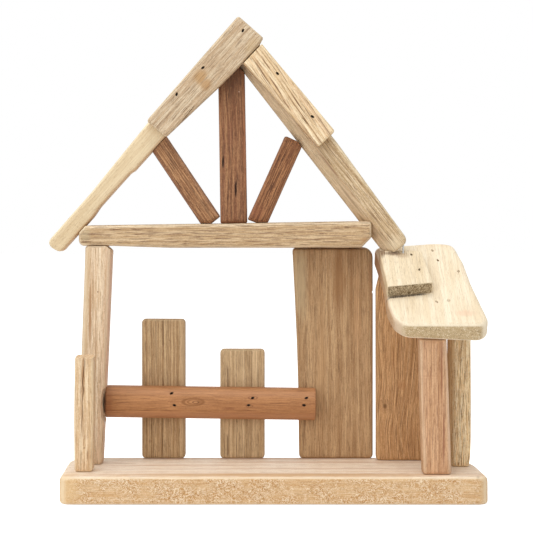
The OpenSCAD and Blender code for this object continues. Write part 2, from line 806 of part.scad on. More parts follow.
module tie_beam() {
    outline = [
        [beam_left, post_top, beam_nose_round],
        [beam_left + beam_bearing, post_top, 0],
        [beam_left + beam_relief, wall_top, 0],
        [beam_right - beam_end_cut[0], wall_top, beam_end_round],
        [beam_right, wall_top + beam_end_cut[1], beam_end_round],
        [beam_right, beam_top(beam_right), beam_end_round],
        [beam_seat_point[0], beam_seat_point[1], 0],
        [beam_left, beam_seat_point[1] - beam_left_overhang * tan(left_slope), stick_end_round]];
    color("#DDC49C")
        difference() {
            front_board(outline, beam_front, beam_depth, beam_round, beam_back_round);
            // The right rafter's seat lies behind its bevel and above its underside
            along_right_rafter([
                [back_edge + reach, 0],
                [back_edge + reach, reach],
                [rafter_front + bevel_depth - reach * bevel_depth / bevel_width, reach],
                [rafter_front + bevel_depth, 0]]);
            driven(beam_places)
                brad_bore(long_brad);
            driven(left_gable_places)
                brad_bore(short_brad);
        }
}

module king_post() {
    foot = [king_x - king_width / 2, king_x + king_width / 2];
    top = ridge[1] + overrun;
    outline = [
        [foot[0], beam_top(foot[0]), king_foot_round],
        [foot[1], beam_top(foot[1]), king_foot_round],
        [foot[1] + king_lean, top, 0],
        [foot[0] + king_lean, top, 0]];
    color("#94634A")
        difference() {
            front_board(outline, rafter_front + king_setback, king_depth, king_round, king_round);
            above_left_rafter();
            above_right_rafter();
            driven(beam_places)
                brad_bore(long_brad);
            driven(left_gable_places)
                brad_bore(long_brad);
            driven(right_gable_places)
                brad_bore(long_brad);
        }
}

module left_strut() {
    side = along(90 + left_strut_tilt);
    foot = left_strut_outer + crossing(left_strut_outer, side, beam_seat_point, along(beam_top_tilt)) * side;
    heel = left_strut_start[0] - heel_run;
    outline = [
        [foot[0], foot[1], king_foot_round],
        [heel, beam_top(heel), king_foot_round],
        [left_strut_start[0], left_strut_start[1], king_foot_round],
        concat(left_strut_start + gable_rise * side, [0]),
        concat(left_strut_outer + gable_rise * side, [0])];
    color("#96694F")
        difference() {
            front_board(outline, rafter_front + strut_setback, strut_depth, strut_round, strut_round);
            above_left_rafter();
            driven(left_gable_places)
                brad_bore(long_brad);
        }
}

module right_strut() {
    side = along(90 - right_strut_tilt);
    foot = right_strut_outer + crossing(right_strut_outer, side, beam_seat_point, along(beam_top_tilt)) * side;
    heel = right_strut_start[0] + heel_run;
    top = right_strut_run + strut_tuck;
    outline = [
        [right_strut_start[0], right_strut_start[1], king_foot_round],
        [heel, beam_top(heel), king_foot_round],
        [foot[0], foot[1], king_foot_round],
        concat(right_strut_outer + top * side, [king_foot_round]),
        concat(right_strut_start + top * side, [right_strut_top_round])];
    color("#96694F")
        difference() {
            front_board(outline, rafter_front + strut_setback, strut_depth, strut_round, strut_round);
            above_right_rafter();
            driven(right_gable_places)
                brad_bore(long_brad);
        }
}

module left_rafter() {
    foot = left_rafter_foot + fit_gap * across(left_slope);
    last = left_rafter_length + left_end_run;
    mid = [for (k = [2, 1]) left_rafter_shares[k][0] * left_rafter_length];
    outline = concat(
        [at(foot, left_slope, 0, 0, left_foot_round)],
        [for (p = left_hollow) at(foot, left_slope, p[0], p[1], 0)],
        [at(foot, left_slope, last, 0, 0),
            at(foot, left_slope, last, left_rafter_width, 0)],
        [for (s = mid) at(foot, left_slope, s, left_width_at(s), 0)],
        [at(foot, left_slope, -left_foot_round / 2, left_width_at(0), left_foot_round)]);
    color("#D9BE96")
        difference() {
            front_board(outline, rafter_front, rafter_thickness, rafter_round, rafter_back_round);
            above_right_rafter();
            driven(left_gable_places)
                brad_bore(long_brad);
            driven(ridge_board_places)
                brad_bore(short_brad);
        }
}

module right_rafter() {
    top = ridge + fit_gap * across(-right_slope);
    angle = -right_slope;
    mid = right_rafter_shares[1][0] * right_rafter_length;
    tip = right_rafter_length + foot_tip[0];
    outline = [
        at(top, angle, -ridge_reach, 0, stick_end_round),
        at(top, angle, right_rafter_length, 0, foot_heel_round),
        at(top, angle, tip, foot_tip[1] * right_rafter_width, foot_tip_round),
        at(top, angle, tip, right_width_at(right_rafter_length), foot_round),
        at(top, angle, mid, right_width_at(mid), 0),
        at(top, angle, -ridge_reach, right_width_at(0), stick_end_round)];
    color("#D9BE96")
        difference() {
            front_board(outline, rafter_front, rafter_thickness, rafter_round, rafter_back_round);
            along_right_rafter([
                [rafter_front - reach, 0],
                [rafter_front - reach, bevel_width + reach * bevel_width / bevel_depth],
                [rafter_front + bevel_depth, 0]]);
            below_batten_top();
            driven(right_gable_places)
                brad_bore(long_brad);
            driven(ridge_board_places)
                brad_bore(short_brad);
            driven(foot_brad_places)
                brad_bore(short_brad);
        }
}

module left_ridge_board() {
    rows = left_ridge_shares;
    last = len(rows) - 1;
    outline = concat(
        [at(left_ridge_corner, left_ridge_tilt, 0, 0, ridge_board_corner),
            at(left_ridge_corner, left_ridge_tilt, -left_ridge_length, 0, ridge_board_corner)],
        [for (k = [last : -1 : 0])
            at(left_ridge_corner, left_ridge_tilt, -rows[k][0] * left_ridge_length,
                -rows[k][1] * left_ridge_width, k == 0 ? ridge_tip_round : k == last ? ridge_board_corner : 0)]);
    color("#CDB48F")
        difference() {
            front_board(outline, ridge_board_front, ridge_board_thickness, ridge_board_round,
                ridge_board_round);
            driven(ridge_board_places)
                brad_bore(short_brad);
        }
}

module right_ridge_board() {
    low = right_ridge_end_share * right_ridge_width;
    edge = [for (k = [1, 2]) left_ridge_corner
        - left_ridge_shares[k][0] * left_ridge_length * along(left_ridge_tilt)
        - left_ridge_shares[k][1] * left_ridge_width * across(left_ridge_tilt)];
    edge_tilt = atan2(edge[0][1] - edge[1][1], edge[0][0] - edge[1][0]);
    outline = [
        at(right_ridge_corner, right_ridge_tilt, -ridge_board_thickness, -right_ridge_width, 0),
        at(right_ridge_corner, right_ridge_tilt, right_ridge_length + overrun, -low, ridge_board_corner),
        at(right_ridge_corner, right_ridge_tilt, right_ridge_length, 0, ridge_board_corner),
        at(right_ridge_corner, right_ridge_tilt, -ridge_board_thickness, 0, 0)];
    color("#E0C08C")
        difference() {
            front_board(outline, ridge_board_front, ridge_board_thickness, ridge_board_round,
                ridge_board_round);
            left_side(edge[1] - ridge_gap * across(edge_tilt), edge_tilt);
            driven(ridge_board_places)
                brad_bore(short_brad);
        }
}

module lean_to_back_board() {
    top = base_top + lean_board_height + lean_board_thickness * tan(roof_slope) + board_corner + overrun;
    outline = [
        [lean_board_left, base_top, board_corner],
        [lean_board_right, base_top, board_corner],
        [lean_board_right, top, board_corner],
        [lean_board_left + lean_board_shoulder[0], top, 0],
        [lean_board_left, base_top + lean_board_height - lean_board_shoulder[1], lean_board_shoulder[2]]];
    color("#B08A5E")
        difference() {
            front_board(outline, lean_board_front, lean_board_thickness, board_round, board_back_round);
            above_roof_underside();
            base_nail_bores();
            driven(roof_places)
                brad_bore(long_brad);
            driven(roof_slant_places)
                brad_bore(short_brad);
        }
}

module lean_to_front_post() {
    color("#CFA07C")
        difference() {
            translate([front_post_x, front_post_front, base_top])
                stick(stick_section(front_post_width, front_post_depth, lean_post_round, lean_post_round),
                    front_post_length, stick_end_round, least_round, front_post_swell_shares, front_post_lean);
            above_roof_underside();
            base_nail_bores();
            driven(roof_places)
                brad_bore(long_brad);
        }
}

module lean_to_side_post() {
    color("#B4936A")
        difference() {
            translate([side_post_x, side_post_front, base_top])
                stick(stick_section(side_post_width, side_post_depth, side_post_round, side_post_round),
                    side_post_length, stick_end_round, least_round, side_post_swell_shares, side_post_lean);
            above_roof_underside();
            base_nail_bores();
            driven(roof_places)
                brad_bore(long_brad);
        }
}

module lean_to_roof() {
    lefts = [for (k = [len(roof_left_shares) - 2 : -1 : 1]) roof_left_shares[k][0]];
    rights = [for (k = [1 : len(roof_right_shares) - 2]) roof_right_shares[k][0]];
    outline = concat(
        [[roof_left_x(0), roof_y(0), roof_corners[0]],
            [roof_right_x(0), roof_y(0), roof_corners[1]]],
        [for (s = rights) [roof_right_x(s), roof_y(s), 0]],
        [[roof_right_x(1), roof_y(1) + roof_bow[1], roof_corners[2]],
            [roof_left_x(1) + roof_bow_share * roof_back_width, roof_y(1) + roof_bow[0], roof_corners[3]],
            [roof_left_x(1), roof_y(1), roof_corners[4]]],
        [for (s = lefts) [roof_left_x(s), roof_y(s), 0]]);
    color("#F3E3C8")
        difference() {
            on_roof()
                board(outline, roof_thickness, roof_under_rounds, roof_top_round);
            driven(roof_places)
                brad_bore(long_brad);
            driven(roof_slant_places)
                brad_bore(short_brad);
            driven(batten_places)
                brad_bore(batten_brad);
        }
}

module roof_batten() {
    start = batten_start / roof_length;
    end = batten_end / roof_length;
    left = [roof_left_x(start) + batten_side_gap, roof_left_x(end) + batten_side_gap];
    outline = [
        [left[0], roof_y(start), batten_corner],
        [left[0] + batten_width, roof_y(start) + batten_skew, batten_corner],
        [left[1] + batten_back_share * batten_width, roof_y(end), batten_corner],
        [left[1], roof_y(end), batten_corner]];
    color("#B49C78")
        difference() {
            on_roof()
                translate([0, 0, roof_thickness])
                    board(outline, batten_thickness, batten_round / 2, batten_round);
            driven(batten_places)
                brad_bore(batten_brad);
            driven(foot_brad_places)
                brad_bore(short_brad);
        }
}

module ridge_board_brads() {
    color("#B9B9B4")
        driven(ridge_board_places)
            brad(short_brad);
}

module rail_brads() {
    color("#B9B9B4")
        driven(rail_places)
            brad(rail_brad);
}

module roof_brads() {
    color("#B9B9B4") {
        driven(roof_places)
            brad(long_brad);
        driven(roof_slant_places)
            brad(short_brad);
    }
}

module batten_brads() {
    color("#B9B9B4")
        driven(batten_places)
            brad(batten_brad);
}

module rafter_foot_brad() {
    color("#C6C6C2")
        driven(foot_brad_places)
            brad(short_brad);
}

module gable_brads() {
    color("#B9B9B4") {
        driven([left_gable_places[0]])
            brad(short_brad);
        driven([left_gable_places[1], left_gable_places[2]])
            brad(long_brad);
        driven(right_gable_places)
            brad(long_brad);
    }
}

module beam_brads() {
    color("#B9B9B4")
        driven(beam_places)
            brad(long_brad);
}

module base_nails() {
    color("#8F8F8A")
        driven(base_places)
            nail(base_nail);
}

base_board();
left_corner_post();
left_front_stake();
left_fence_board();
middle_fence_board();
fence_rail();
back_wall_board();
tie_beam();
king_post();
left_strut();
right_strut();
left_rafter();
right_rafter();
left_ridge_board();
right_ridge_board();
lean_to_back_board();
lean_to_front_post();
lean_to_side_post();
lean_to_roof();
roof_batten();
ridge_board_brads();
rail_brads();
roof_brads();
batten_brads();
rafter_foot_brad();
gable_brads();
beam_brads();
base_nails();
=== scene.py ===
import math

import bmesh
import bpy
import numpy as np
from mathutils import Matrix, Vector


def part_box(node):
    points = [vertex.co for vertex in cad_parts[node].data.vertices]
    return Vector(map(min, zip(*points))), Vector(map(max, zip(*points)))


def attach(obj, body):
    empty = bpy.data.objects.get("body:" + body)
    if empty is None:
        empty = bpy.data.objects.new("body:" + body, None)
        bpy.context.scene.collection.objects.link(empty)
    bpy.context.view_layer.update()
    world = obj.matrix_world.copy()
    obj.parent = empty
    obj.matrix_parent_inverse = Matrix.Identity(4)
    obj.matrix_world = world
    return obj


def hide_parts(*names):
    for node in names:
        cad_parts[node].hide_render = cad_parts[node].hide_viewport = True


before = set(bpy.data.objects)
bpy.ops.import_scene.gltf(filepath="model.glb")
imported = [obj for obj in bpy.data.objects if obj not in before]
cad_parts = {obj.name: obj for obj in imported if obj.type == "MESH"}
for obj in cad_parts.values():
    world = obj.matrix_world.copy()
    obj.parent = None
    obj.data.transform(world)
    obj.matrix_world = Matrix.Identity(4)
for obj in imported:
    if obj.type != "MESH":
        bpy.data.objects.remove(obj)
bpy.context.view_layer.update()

# The studio: the stable stands on a pale sweep of card under two large soft lamps, and the camera looks at it
# level from about one metre, at about three fifths of its height.
photo_side = 533
focal_pixels = 1597
horizon_row = 213
stand_off = 1.0
eye_across, eye_height = -0.0047, 0.183
eye = Vector((eye_across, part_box("base_board")[0].y - stand_off, eye_height))


def set_out(name, data):
    """A new object in the scene."""
    made = bpy.data.objects.new(name, data)
    bpy.context.scene.collection.objects.link(made)
    return made


camera = set_out("camera", bpy.data.cameras.new("camera"))
camera.data.lens = camera.data.sensor_width * focal_pixels / photo_side
camera.data.shift_y = horizon_row / photo_side - 0.5
camera.location = eye
camera.rotation_euler = (math.radians(90), 0, 0)
bpy.context.scene.camera = camera
bpy.context.scene.view_settings.view_transform = "Standard"


def put(tree, kind, *values, **named):
    """Adds a node. Values fill its inputs in order, and named ones are its settings or inputs."""
    node = tree.nodes.new(kind)
    for key, value in named.items():
        if hasattr(node, key):
            setattr(node, key, value)
    chosen = [(node.inputs[key.replace("_", " ")], value) for key, value in named.items()
              if not hasattr(node, key)]
    for socket, value in list(zip(node.inputs, values)) + chosen:
        if isinstance(value, bpy.types.Node):
            value = value.outputs[0]
        if isinstance(value, bpy.types.NodeSocket):
            tree.links.new(value, socket)
        elif value is not None:
            socket.default_value = value
    return node


def maths(tree, operation, *values, clamp=False):
    """Adds a node that works out one number from others."""
    return put(tree, "ShaderNodeMath", *values, operation=operation, use_clamp=clamp).outputs[0]


def seen_directly(tree):
    """1 where the camera sees the surface itself or in gloss or glass, and 0 where it only lights things."""
    path = put(tree, "ShaderNodeLightPath")
    direct = maths(tree, "ADD", path.outputs["Is Camera Ray"], path.outputs["Is Glossy Ray"], clamp=True)
    return maths(tree, "ADD", direct, path.outputs["Is Transmission Ray"], clamp=True)


def softbox(name, place, aim, size, power):
    """A large soft lamp that looks from its place at its aim, in metres and watts."""
    lamp = set_out(name, bpy.data.lights.new(name, "AREA"))
    lamp.data.shape = "RECTANGLE"
    lamp.data.size, lamp.data.size_y = size
    lamp.data.energy = power
    lamp.location = place
    lamp.rotation_euler = (Vector(aim) - Vector(place)).to_track_quat("-Z", "Y").to_euler()


room_light = 0.62
world = bpy.data.worlds.new("studio")
world.use_nodes = True
world.node_tree.nodes.clear()
lit = put(world.node_tree, "ShaderNodeBackground", (1, 1, 1, 1), room_light)
white = put(world.node_tree, "ShaderNodeBackground", (1, 1, 1, 1), 1.0)
backdrop = put(world.node_tree, "ShaderNodeMixShader", seen_directly(world.node_tree), lit, white)
put(world.node_tree, "ShaderNodeOutputWorld", backdrop)
bpy.context.scene.world = world

softbox("top_lamp", place=(-0.25, -0.35, 1.5), aim=(0, 0, 0.1), size=(1.4, 1.1), power=12.5)
softbox("front_lamp", place=(-0.9, -1.7, 0.9), aim=(0, 0, 0.15), size=(1.2, 1.2), power=10.5)


def bare_material(name):
    """A new material, and its tree with no nodes in it yet."""
    material = bpy.data.materials.new(name)
    material.use_nodes = True
    material.node_tree.nodes.clear()
    return material, material.node_tree


def sweep():
    """The pale card that the stable stands on, which the camera sees white but for the stable's shadow."""
    card_reach = 6
    card_white = (0.92, 0.92, 0.92, 1)
    shown_glow = 0.62
    card = bmesh.new()
    bmesh.ops.create_grid(card, x_segments=1, y_segments=1, size=card_reach)
    mesh = bpy.data.meshes.new("floor")
    card.to_mesh(mesh)
    material, tree = bare_material("pale_card")
    plain = put(tree, "ShaderNodeBsdfDiffuse", card_white)
    glow = put(tree, "ShaderNodeEmission", (1, 1, 1, 1),
               maths(tree, "MULTIPLY", seen_directly(tree), shown_glow))
    put(tree, "ShaderNodeOutputMaterial", put(tree, "ShaderNodeAddShader", plain, glow))
    mesh.materials.append(material)
    set_out("floor", mesh)


sweep()

# The base board: one thick softwood board, sawn, planed and sanded round on its top edges. Every other piece
# stands on it, glued and nailed from below. Its front shows short swirling grain with fine specks.
mm = 0.001
weld = 1e-6


def paint(code):
    """A colour written as on a paint chart, in the linear values that the shaders take."""
    parts = [int(code[k:k + 2], 16) / 255 for k in (1, 3, 5)]
    return tuple(p / 12.92 if p <= 0.04045 else ((p + 0.055) / 1.055) ** 2.4 for p in parts) + (1,)


def islands(node):
    """The separate solids of a node, each as an array of its corner points."""
    shell = bmesh.new()
    shell.from_mesh(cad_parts[node].data)
    bmesh.ops.remove_doubles(shell, verts=shell.verts, dist=weld)
    found, seen = [], set()
    for start in shell.verts:
        if start in seen:
            continue
        group, queue = [], [start]
        seen.add(start)
        while queue:
            here = queue.pop()
            group.append(here.co.copy())
            for edge in here.link_edges:
                other = edge.other_vert(here)
                if other not in seen:
                    seen.add(other)
                    queue.append(other)
        found.append(np.array(group))
    shell.free()
    return found


def pin_line(points):
    """A brad's or nail's tip, its direction towards the head, and its length."""
    middle = points.mean(axis=0)
    axis = np.linalg.svd(points - middle, full_matrices=False)[2][0]
    reach = (points - middle) @ axis
    spread = np.linalg.norm((points - middle) - np.outer(reach, axis), axis=1)
    if reach[spread.argmax()] < 0:
        axis, reach = -axis, -reach
    return middle + axis * reach.min(), axis, reach.max() - reach.min()


pin_groups = ["ridge_board_brads", "rail_brads", "roof_brads", "batten_brads", "rafter_foot_brad",
              "gable_brads", "beam_brads", "base_nails"]
pins = {name: [pin_line(points) for points in islands(name)] for name in pin_groups}
bore_reach = 1.75 * mm
bore_run = 2 * mm


def solid_blank(node):
    """A merged copy of a piece's CAD solid with the bores of its brads and nails closed."""
    blank = bmesh.new()
    blank.from_mesh(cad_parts[node].data)
    bmesh.ops.remove_doubles(blank, verts=blank.verts, dist=weld)
    places = np.array([v.co for v in blank.verts])
    in_bore = {}
    for number, (tip, axis, length) in enumerate(line for group in pins.values() for line in group):
        run = (places - tip) @ axis
        off = np.linalg.norm((places - tip) - np.outer(run, axis), axis=1)
        for k in np.nonzero((off < bore_reach) & (run > -bore_run) & (run < length + bore_run))[0]:
            in_bore.setdefault(int(k), set()).add(number)
    blank.verts.index_update()
    gone = [f for f in blank.faces if set.intersection(*[in_bore.get(v.index, set()) for v in f.verts])]
    bmesh.ops.delete(blank, geom=gone, context="FACES")
    bmesh.ops.holes_fill(blank, edges=[e for e in blank.edges if e.is_boundary], sides=0)
    bmesh.ops.recalc_face_normals(blank, faces=blank.faces)
    mesh = bpy.data.meshes.new(node + "_blank")
    blank.to_mesh(mesh)
    blank.free()
    return mesh


def geometry_tree(name, measures, ways=()):
    """A Geometry Nodes tree that takes and gives a mesh, with these measures and ways as its named inputs."""
    tree = bpy.data.node_groups.new(name, "GeometryNodeTree")
    sockets = [("Geometry", "Geometry")] + [(way, "Vector") for way in ways]
    sockets += [(measure, "Float") for measure in measures]
    for label, kind in sockets:
        tree.interface.new_socket(label, in_out="INPUT", socket_type="NodeSocket" + kind)
    tree.interface.new_socket("Geometry", in_out="OUTPUT", socket_type="NodeSocketGeometry")
    return tree, put(tree, "NodeGroupInput").outputs


def sanding_tree():
    """Geometry Nodes that sand a piece by hand: slow waves, and fine raised fibres along the grain."""
    measures = ("Wave depth", "Wave length", "Fibre depth", "Fibre width", "Seed")
    tree, given = geometry_tree("hand_sanding", measures, ways=["Grain"])
    place = put(tree, "GeometryNodeInputPosition").outputs[0]
    along = put(tree, "ShaderNodeVectorMath", place, given["Grain"], operation="DOT_PRODUCT").outputs["Value"]

    def worn(stretch, size, depth):
        """Noise of this depth with cells of this size, drawn out along the grain."""
        share = maths(tree, "MULTIPLY", along, 1 / stretch - 1)
        shift = put(tree, "ShaderNodeVectorMath", given["Grain"], operation="SCALE", Scale=share).outputs[0]
        squeezed = put(tree, "ShaderNodeVectorMath", place, shift, operation="ADD").outputs[0]
        pattern = put(tree, "ShaderNodeTexNoise", noise_dimensions="4D", Vector=squeezed, W=given["Seed"],
                      Scale=maths(tree, "DIVIDE", 1.0, size), Detail=1.0)
        return maths(tree, "MULTIPLY", pattern.outputs[0], depth)

    wave_stretch, fibre_stretch, given_back = 3, 18, 0.42
    wave = worn(wave_stretch, given["Wave length"], given["Wave depth"])
    fibre = worn(fibre_stretch, given["Fibre width"], given["Fibre depth"])
    # Noise lies about one half, so most of that half is given back and the faces keep their places
    deepest = maths(tree, "ADD", given["Wave depth"], given["Fibre depth"])
    inward = maths(tree, "SUBTRACT", maths(tree, "MULTIPLY", deepest, given_back),
                   maths(tree, "ADD", wave, fibre))
    offset = put(tree, "ShaderNodeVectorMath", put(tree, "GeometryNodeInputNormal"), operation="SCALE",
                 Scale=inward)
    moved = put(tree, "GeometryNodeSetPosition", given["Geometry"], Offset=offset.outputs[0])
    put(tree, "NodeGroupOutput", moved)
    return tree


hand_sanding = sanding_tree()


def set_inputs(modifier, **values):
    """Sets a Geometry Nodes modifier's inputs by the names that they show."""
    for item in modifier.node_group.interface.items_tree:
        key = item.name.replace(" ", "_").lower()
        if item.in_out == "INPUT" and key in values:
            modifier[item.identifier] = values[key]


def evaluated(piece):
    """The piece's mesh with its modifiers taken in."""
    bpy.context.view_layer.update()
    mesh = bpy.data.meshes.new_from_object(piece.evaluated_get(bpy.context.evaluated_depsgraph_get()))
    piece.modifiers.clear()
    piece.data = mesh
    return mesh


def carve(cutter, rings):
    """Adds one closed solid to the cutter, from rings of points that are joined in turn."""
    loops = [[cutter.verts.new(p) for p in ring] for ring in rings]
    cutter.faces.new(loops[0][::-1])
    cutter.faces.new(loops[-1])
    for low, high in zip(loops, loops[1:]):
        for k in range(len(low)):
            n = (k + 1) % len(low)
            cutter.faces.new((low[k], low[n], high[n], high[k]))


def cutting_tool(heads, splits, grain):
    """Cuts oval slots along the grain where the brads' heads went in, and narrow splits.

    A split is the level of the face that it is in, its depth, and its run of places with their widths.
    """
    cutter = bmesh.new()
    half_length, half_width = 1.35 * mm, 0.8 * mm
    slot_depth, slot_clearance = 1.2 * mm, 2.5 * mm
    slot_turns = (0.3, -0.2, 0.5, 0.1)
    slot_corners = np.linspace(0, 2 * math.pi, 14, endpoint=False)
    for number, (tip, axis, length) in enumerate(heads):
        side = np.array(grain) - axis * (np.array(grain) @ axis)
        side /= np.linalg.norm(side)
        other = np.cross(axis, side)
        turn = slot_turns[number % len(slot_turns)]
        side, other = (side * math.cos(turn) + other * math.sin(turn),
                       other * math.cos(turn) - side * math.sin(turn))
        oval = [side * half_length * math.cos(a) + other * half_width * math.sin(a) for a in slot_corners]
        carve(cutter, [[tip + axis * level + reach for reach in oval]
                       for level in (length - slot_depth, length + slot_clearance)])
    mouth, bottom = 0.5, 0.2
    for front, depth, run in splits:
        corners = ((-mouth, front - 1), (mouth, front - 1), (bottom, front + depth), (-bottom, front + depth))
        carve(cutter, [[Vector((x + wide * share, level, z)) * mm for share, level in corners]
                       for x, z, wide in run])
    bmesh.ops.recalc_face_normals(cutter, faces=cutter.faces)
    mesh = bpy.data.meshes.new("cuts")
    cutter.to_mesh(mesh)
    cutter.free()
    return set_out("cuts", mesh)


def worked(node, grain, voxel=0.7, wave=0.35, wave_length=30, fibre=0.1, fibre_width=2.2, heads=(),
           splits=()):
    """A wooden piece worked from its CAD solid: fine enough for its edges to be soft, and sanded uneven."""
    own_seed = float(sum(map(ord, node)) % 97)
    crease = math.radians(50)
    piece = set_out(node + "_wood", solid_blank(node))
    fine = piece.modifiers.new("fine", "REMESH")
    fine.mode = "VOXEL"
    fine.voxel_size = voxel * mm
    fine.use_smooth_shade = True
    sand = piece.modifiers.new("sand", "NODES")
    sand.node_group = hand_sanding
    set_inputs(sand, grain=tuple(grain), wave_depth=wave * mm, wave_length=wave_length * mm,
               fibre_depth=fibre * mm, fibre_width=fibre_width * mm, seed=own_seed)
    tool = cutting_tool(heads, splits, grain) if heads or splits else None
    if tool:
        cut = piece.modifiers.new("cuts", "BOOLEAN")
        cut.operation = "DIFFERENCE"
        cut.solver = "EXACT"
        cut.object = tool
    mesh = evaluated(piece)
    if tool:
        bpy.data.objects.remove(tool)
    low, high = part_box(node)
    places = np.empty(len(mesh.vertices) * 3)
    mesh.vertices.foreach_get("co", places)
    mesh.vertices.foreach_set("co", np.clip(places.reshape(-1, 3), low, high).ravel())
    mesh.update()
    mesh.set_sharp_from_angle(angle=crease)
    return piece


class Wood:
    """The look of one piece of wood, laid over its own grain in layers of colour.

    Its growth rings start as the place across the piece, and are bent before the bands are drawn on them.
    """

    def __init__(self, name, grain, face, seed):
        self.material, self.tree = bare_material(name)
        self.seed = seed
        self.grain = Vector(grain).normalized()
        self.face = Vector(face).normalized()
        self.side = self.grain.cross(self.face).normalized()
        source = put(self.tree, "ShaderNodeTexCoord")
        self.normal = source.outputs["Normal"]
        parts = [self.dot(source.outputs["Object"], axis / mm) for axis in (self.side, self.face, self.grain)]
        self.place = put(self.tree, "ShaderNodeCombineXYZ", *parts).outputs[0]
        self.rings, self.through = parts[:2]

    def dot(self, value, axis):
        return put(self.tree, "ShaderNodeVectorMath", value, axis, operation="DOT_PRODUCT").outputs["Value"]

    def maths(self, operation, *values):
        return maths(self.tree, operation, *values)

    def ramp(self, value, start, end, low=0.0, high=1.0):
        """Goes smoothly from low to high where a value goes from start to end."""
        return put(self.tree, "ShaderNodeMapRange", value, start, end, low, high,
                   interpolation_type="SMOOTHSTEP").outputs[0]

    def facing(self, direction, start=0.45, end=0.8, high=1.0):
        """1 on the faces that look this way."""
        return self.ramp(self.dot(self.normal, Vector(direction).normalized()), start, end, 0.0, high)

    def noise(self, across, through, along, detail=2.0, roughness=0.5, shift=0.0, curl=0.0):
        """Cloudy pattern with cells of about these millimetres across, through and along the grain."""
        squeezed = put(self.tree, "ShaderNodeVectorMath", self.place, (1 / across, 1 / through, 1 / along),
                       operation="MULTIPLY").outputs[0]
        return put(self.tree, "ShaderNodeTexNoise", noise_dimensions="4D", Vector=squeezed,
                   W=self.seed + shift, Scale=1.0, Detail=detail, Roughness=roughness,
                   Distortion=curl).outputs[0]

    def bands(self, width, detail=3.0, shift=0.0):
        """Bands of this many millimetres that follow the growth rings."""
        return put(self.tree, "ShaderNodeTexNoise", noise_dimensions="1D",
                   W=self.maths("MULTIPLY_ADD", self.rings, 1 / width, self.seed + shift), Scale=1.0,
                   Detail=detail, Roughness=0.62).outputs[0]

    def layer(self, colour, share, over):
        """Lays one colour over another, by a share from 0 to 1."""
        mixed = put(self.tree, "ShaderNodeMix", data_type="RGBA")
        for socket, value in zip((mixed.inputs[0], mixed.inputs[6], mixed.inputs[7]), (share, colour, over)):
            if isinstance(value, bpy.types.NodeSocket):
                self.tree.links.new(value, socket)
            else:
                socket.default_value = paint(value) if isinstance(value, str) else value
        return mixed.outputs[2]

    def tone(self, colour, pattern, start, end, share, over):
        """Lays a colour over another where a pattern runs from start to end."""
        return self.layer(colour, self.ramp(pattern, start, end, 0.0, share), over)

    def distance(self, point, half_width, half_length, half_depth=25):
        """1 on the skin of an egg shape round a point in millimetres of X, Y and Z, and 0 in its middle."""
        middle = [Vector(point).dot(axis) for axis in (self.side, self.face, self.grain)]
        off = put(self.tree, "ShaderNodeVectorMath", self.place, tuple(middle),
                  operation="SUBTRACT").outputs[0]
        shape = (1 / half_width, 1 / half_depth, 1 / half_length)
        squeezed = put(self.tree, "ShaderNodeVectorMath", off, shape, operation="MULTIPLY").outputs[0]
        return put(self.tree, "ShaderNodeVectorMath", squeezed, operation="LENGTH").outputs["Value"]

    def swirl(self, amount, across, along):
        """Bends the growth rings slowly along the piece, and tilts them through it."""
        tilt = 0.35
        drift = self.maths("SUBTRACT", self.noise(across, across, along, 1.0), 0.5)
        tilted = self.maths("MULTIPLY_ADD", self.through, tilt, self.rings)
        self.rings = self.maths("MULTIPLY_ADD", drift, amount, tilted)

    def knot(self, point, radius, length):
        """Bends the growth rings round a knot, out to about three times its size."""
        outer, inner = 3.2, 0.9
        off = self.distance(point, radius, length)
        gap = self.maths("SUBTRACT", self.maths("MULTIPLY", off, radius), self.rings)
        self.rings = self.maths("MULTIPLY_ADD", gap, self.ramp(off, outer, inner), self.rings)
        return off

    def growth(self, spacing):
        """Growth rings: 0 in the pale spring wood, rising to a thin dark line of late wood."""
        wander = 5
        drift = self.maths("MULTIPLY", self.bands(spacing * wander, 1.0, 4.0), 5.0)
        saw = self.maths("FRACT", self.maths("MULTIPLY_ADD", self.rings, 1 / spacing, drift))
        return self.maths("MULTIPLY", self.ramp(saw, 0.62, 0.93), self.ramp(saw, 1.0, 0.95))

    def finish(self, colour, relief, depth):
        """A dull sanded skin, with its grain raised by this many millimetres."""
        raised = put(self.tree, "ShaderNodeBump", Strength=0.7, Distance=depth * mm, Height=relief)
        skin = put(self.tree, "ShaderNodeBsdfPrincipled", Base_Color=colour, Roughness=0.62, Normal=raised)
        skin.inputs["Specular IOR Level"].default_value = 0.3
        put(self.tree, "ShaderNodeOutputMaterial", skin)
        return self.material


